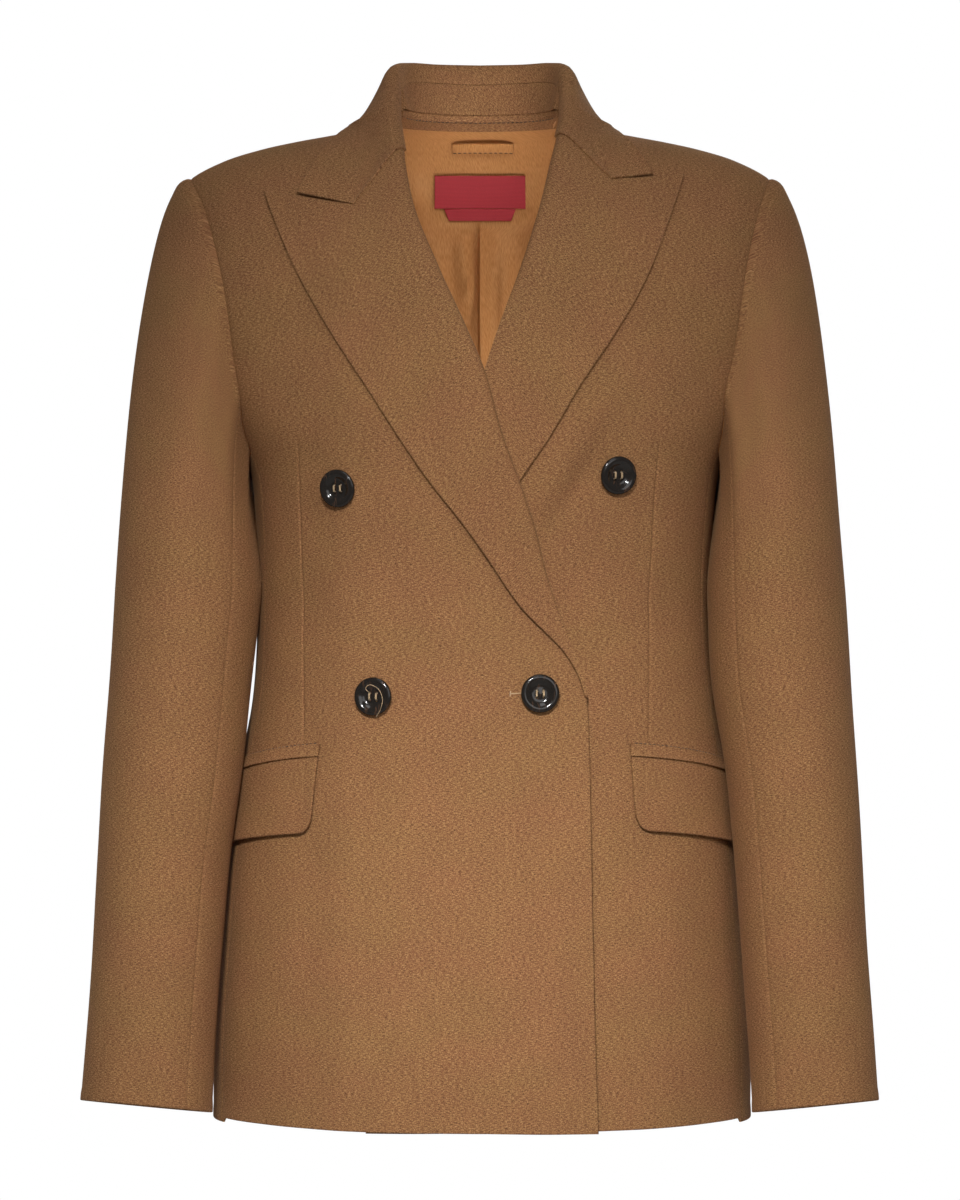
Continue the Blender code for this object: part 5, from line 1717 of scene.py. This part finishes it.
def stitch_tree():
    """Geometry nodes that lay one stitch after another along a line."""
    found = bpy.data.node_groups.get("Row of stitches")
    if found:
        return found
    tree = bpy.data.node_groups.new("Row of stitches", "GeometryNodeTree")
    face = tree.interface
    face.new_socket("Geometry", in_out="INPUT", socket_type="NodeSocketGeometry")
    for name in ("Stitch length", "Gap", "Thread width"):
        face.new_socket(name, in_out="INPUT", socket_type="NodeSocketFloat")
    face.new_socket("Thread", in_out="INPUT", socket_type="NodeSocketMaterial")
    face.new_socket("Geometry", in_out="OUTPUT", socket_type="NodeSocketGeometry")
    given = add(tree, "NodeGroupInput").outputs
    line = add(tree, "GeometryNodeMeshToCurve", {"Mesh": given["Geometry"]})
    spaced = add(tree, "GeometryNodeResampleCurve", {
        "Curve": line, "Length": combine(tree, "ADD", given["Stitch length"], given["Gap"])},
        mode="LENGTH")
    turned = add(tree, "FunctionNodeAlignRotationToVector", {
        "Vector": add(tree, "GeometryNodeInputTangent")}, axis="Z")
    bead = add(tree, "GeometryNodeMeshUVSphere", {"Segments": 8, "Rings": 5, "Radius": 0.5})
    uneven = add(tree, "FunctionNodeRandomValue", {2: 0.85, 3: 1.1, "Seed": 7},
                 data_type="FLOAT")
    long = combine(tree, "MULTIPLY", given["Stitch length"], uneven.outputs[1])
    size = add(tree, "ShaderNodeCombineXYZ", {
        "X": given["Thread width"], "Y": given["Thread width"], "Z": long})
    row = add(tree, "GeometryNodeInstanceOnPoints", {
        "Points": spaced, "Instance": bead, "Rotation": turned, "Scale": size})
    row = add(tree, "GeometryNodeRealizeInstances", {"Geometry": row})
    row = add(tree, "GeometryNodeSetShadeSmooth", {"Geometry": row})
    row = add(tree, "GeometryNodeSetMaterial", {"Geometry": row, "Material": given["Thread"]})
    add(tree, "NodeGroupOutput", {"Geometry": row})
    return tree


def stitched(name, line):
    """A row of stitches along a line of points, as a plain mesh that rides on the jacket."""
    sizes = bpy.context.scene.blazer_stitches
    mesh = bpy.data.meshes.new(name)
    mesh.from_pydata((line * MM).tolist(), [(i, i + 1) for i in range(len(line) - 1)], [])
    made = placed(name, mesh)
    rows = made.modifiers.new("Stitches", "NODES")
    rows.node_group = stitch_tree()
    values = {"Stitch length": sizes.length, "Gap": sizes.gap, "Thread width": sizes.width,
              "Thread": material("seam_thread")}
    for socket in rows.node_group.interface.items_tree:
        if socket.in_out == "INPUT" and socket.name in values:
            rows[socket.identifier] = values[socket.name]
    plain(made)
    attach(made, BODY_NAME)
    return made


# Stage

class MakeStage(bpy.types.Operator):
    """Make the pale floor, the soft lights and the camera."""
    bl_idname = "blazer.make_stage"
    bl_label = "Stage"

    def execute(self, context):
        stage = context.scene.blazer_stage
        context.scene.view_settings.view_transform = "Standard"
        context.scene.world = pale_room(stage.sky)
        floor = bmesh.new()
        bmesh.ops.create_circle(floor, cap_ends=True, segments=96, radius=FLOOR_RADIUS,
                                matrix=Matrix.Translation((0, 0, stage.floor_height)))
        mesh_object("floor", floor, "studio_paper")
        for lamp in LAMPS:
            soft_lamp(lamp, lamp.share * getattr(stage, lamp.setting))
        data = bpy.data.cameras.new("camera")
        data.sensor_fit = "VERTICAL"
        data.sensor_height = SENSOR
        data.lens = SENSOR * stage.distance / VIEW_HEIGHT
        camera = placed("camera", data)
        camera.location = (0.0, -stage.distance, VIEW_MIDDLE)
        camera.rotation_euler = (np.pi / 2, 0.0, 0.0)
        context.scene.camera = camera
        return {"FINISHED"}


def pale_room(strength):
    """A room that looks white and lights everything evenly with this strength."""
    world = bpy.data.worlds.new("pale_room")
    world.use_nodes = True
    room = world.node_tree
    bright = add(room, "ShaderNodeMapRange", {
        "Value": add(room, "ShaderNodeLightPath"), "To Min": strength})
    back = room.nodes["Background"]
    back.inputs["Color"].default_value = (1.0, 1.0, 1.0, 1.0)
    room.links.new(bright.outputs["Result"], back.inputs["Strength"])
    return world


def soft_lamp(lamp, power):
    """A square lamp that faces a place; a small spread gives a beam that fades at its edge."""
    data = bpy.data.lights.new(lamp.name, "AREA")
    data.shape = "SQUARE"
    data.size = lamp.size
    data.spread = lamp.spread
    data.energy = power
    made = placed(lamp.name, data)
    made.location = lamp.place
    aim = Vector(lamp.target) - Vector(lamp.place)
    made.rotation_euler = aim.to_track_quat("-Z", "Y").to_euler()
    made.visible_camera = False


class BlazerPanel(bpy.types.Panel):
    """Sizes, colours and pieces of the blazer."""
    bl_idname = "BLAZER_PT_pieces"
    bl_label = "Blazer"
    bl_space_type = "VIEW_3D"
    bl_region_type = "UI"
    bl_category = "Blazer"

    def draw(self, context):
        layout = self.layout
        for name in GROUPS:
            settings = getattr(context.scene, name)
            box = layout.box()
            for key in settings.bl_rna.properties.keys():
                if key not in ("rna_type", "name"):
                    box.prop(settings, key)
        for piece in PIECES:
            layout.operator(piece.bl_idname)


GROUPS = {
    "blazer_cloth": BlazerCloth, "blazer_colours": BlazerColours,
    "blazer_stitches": BlazerStitches, "blazer_stage": BlazerStage,
}
PIECES = (
    MakeFronts, MakeSides, MakeBacks, MakeSleeves, MakeLapels, MakeCollar, MakeLining,
    MakeLabel, MakePockets, MakeButtons, MakeStage,
)


def register():
    for group in GROUPS.values():
        bpy.utils.register_class(group)
    for name, group in GROUPS.items():
        setattr(bpy.types.Scene, name, bpy.props.PointerProperty(type=group))
    for piece in PIECES:
        bpy.utils.register_class(piece)
    bpy.utils.register_class(BlazerPanel)


def unregister():
    bpy.utils.unregister_class(BlazerPanel)
    for piece in reversed(PIECES):
        bpy.utils.unregister_class(piece)
    for name in GROUPS:
        delattr(bpy.types.Scene, name)
    for group in reversed(list(GROUPS.values())):
        bpy.utils.unregister_class(group)


def main():
    """Make every piece."""
    register()
    for piece in PIECES:
        getattr(bpy.ops.blazer, piece.bl_idname.partition(".")[2])()


if __name__ == "__main__":
    main()
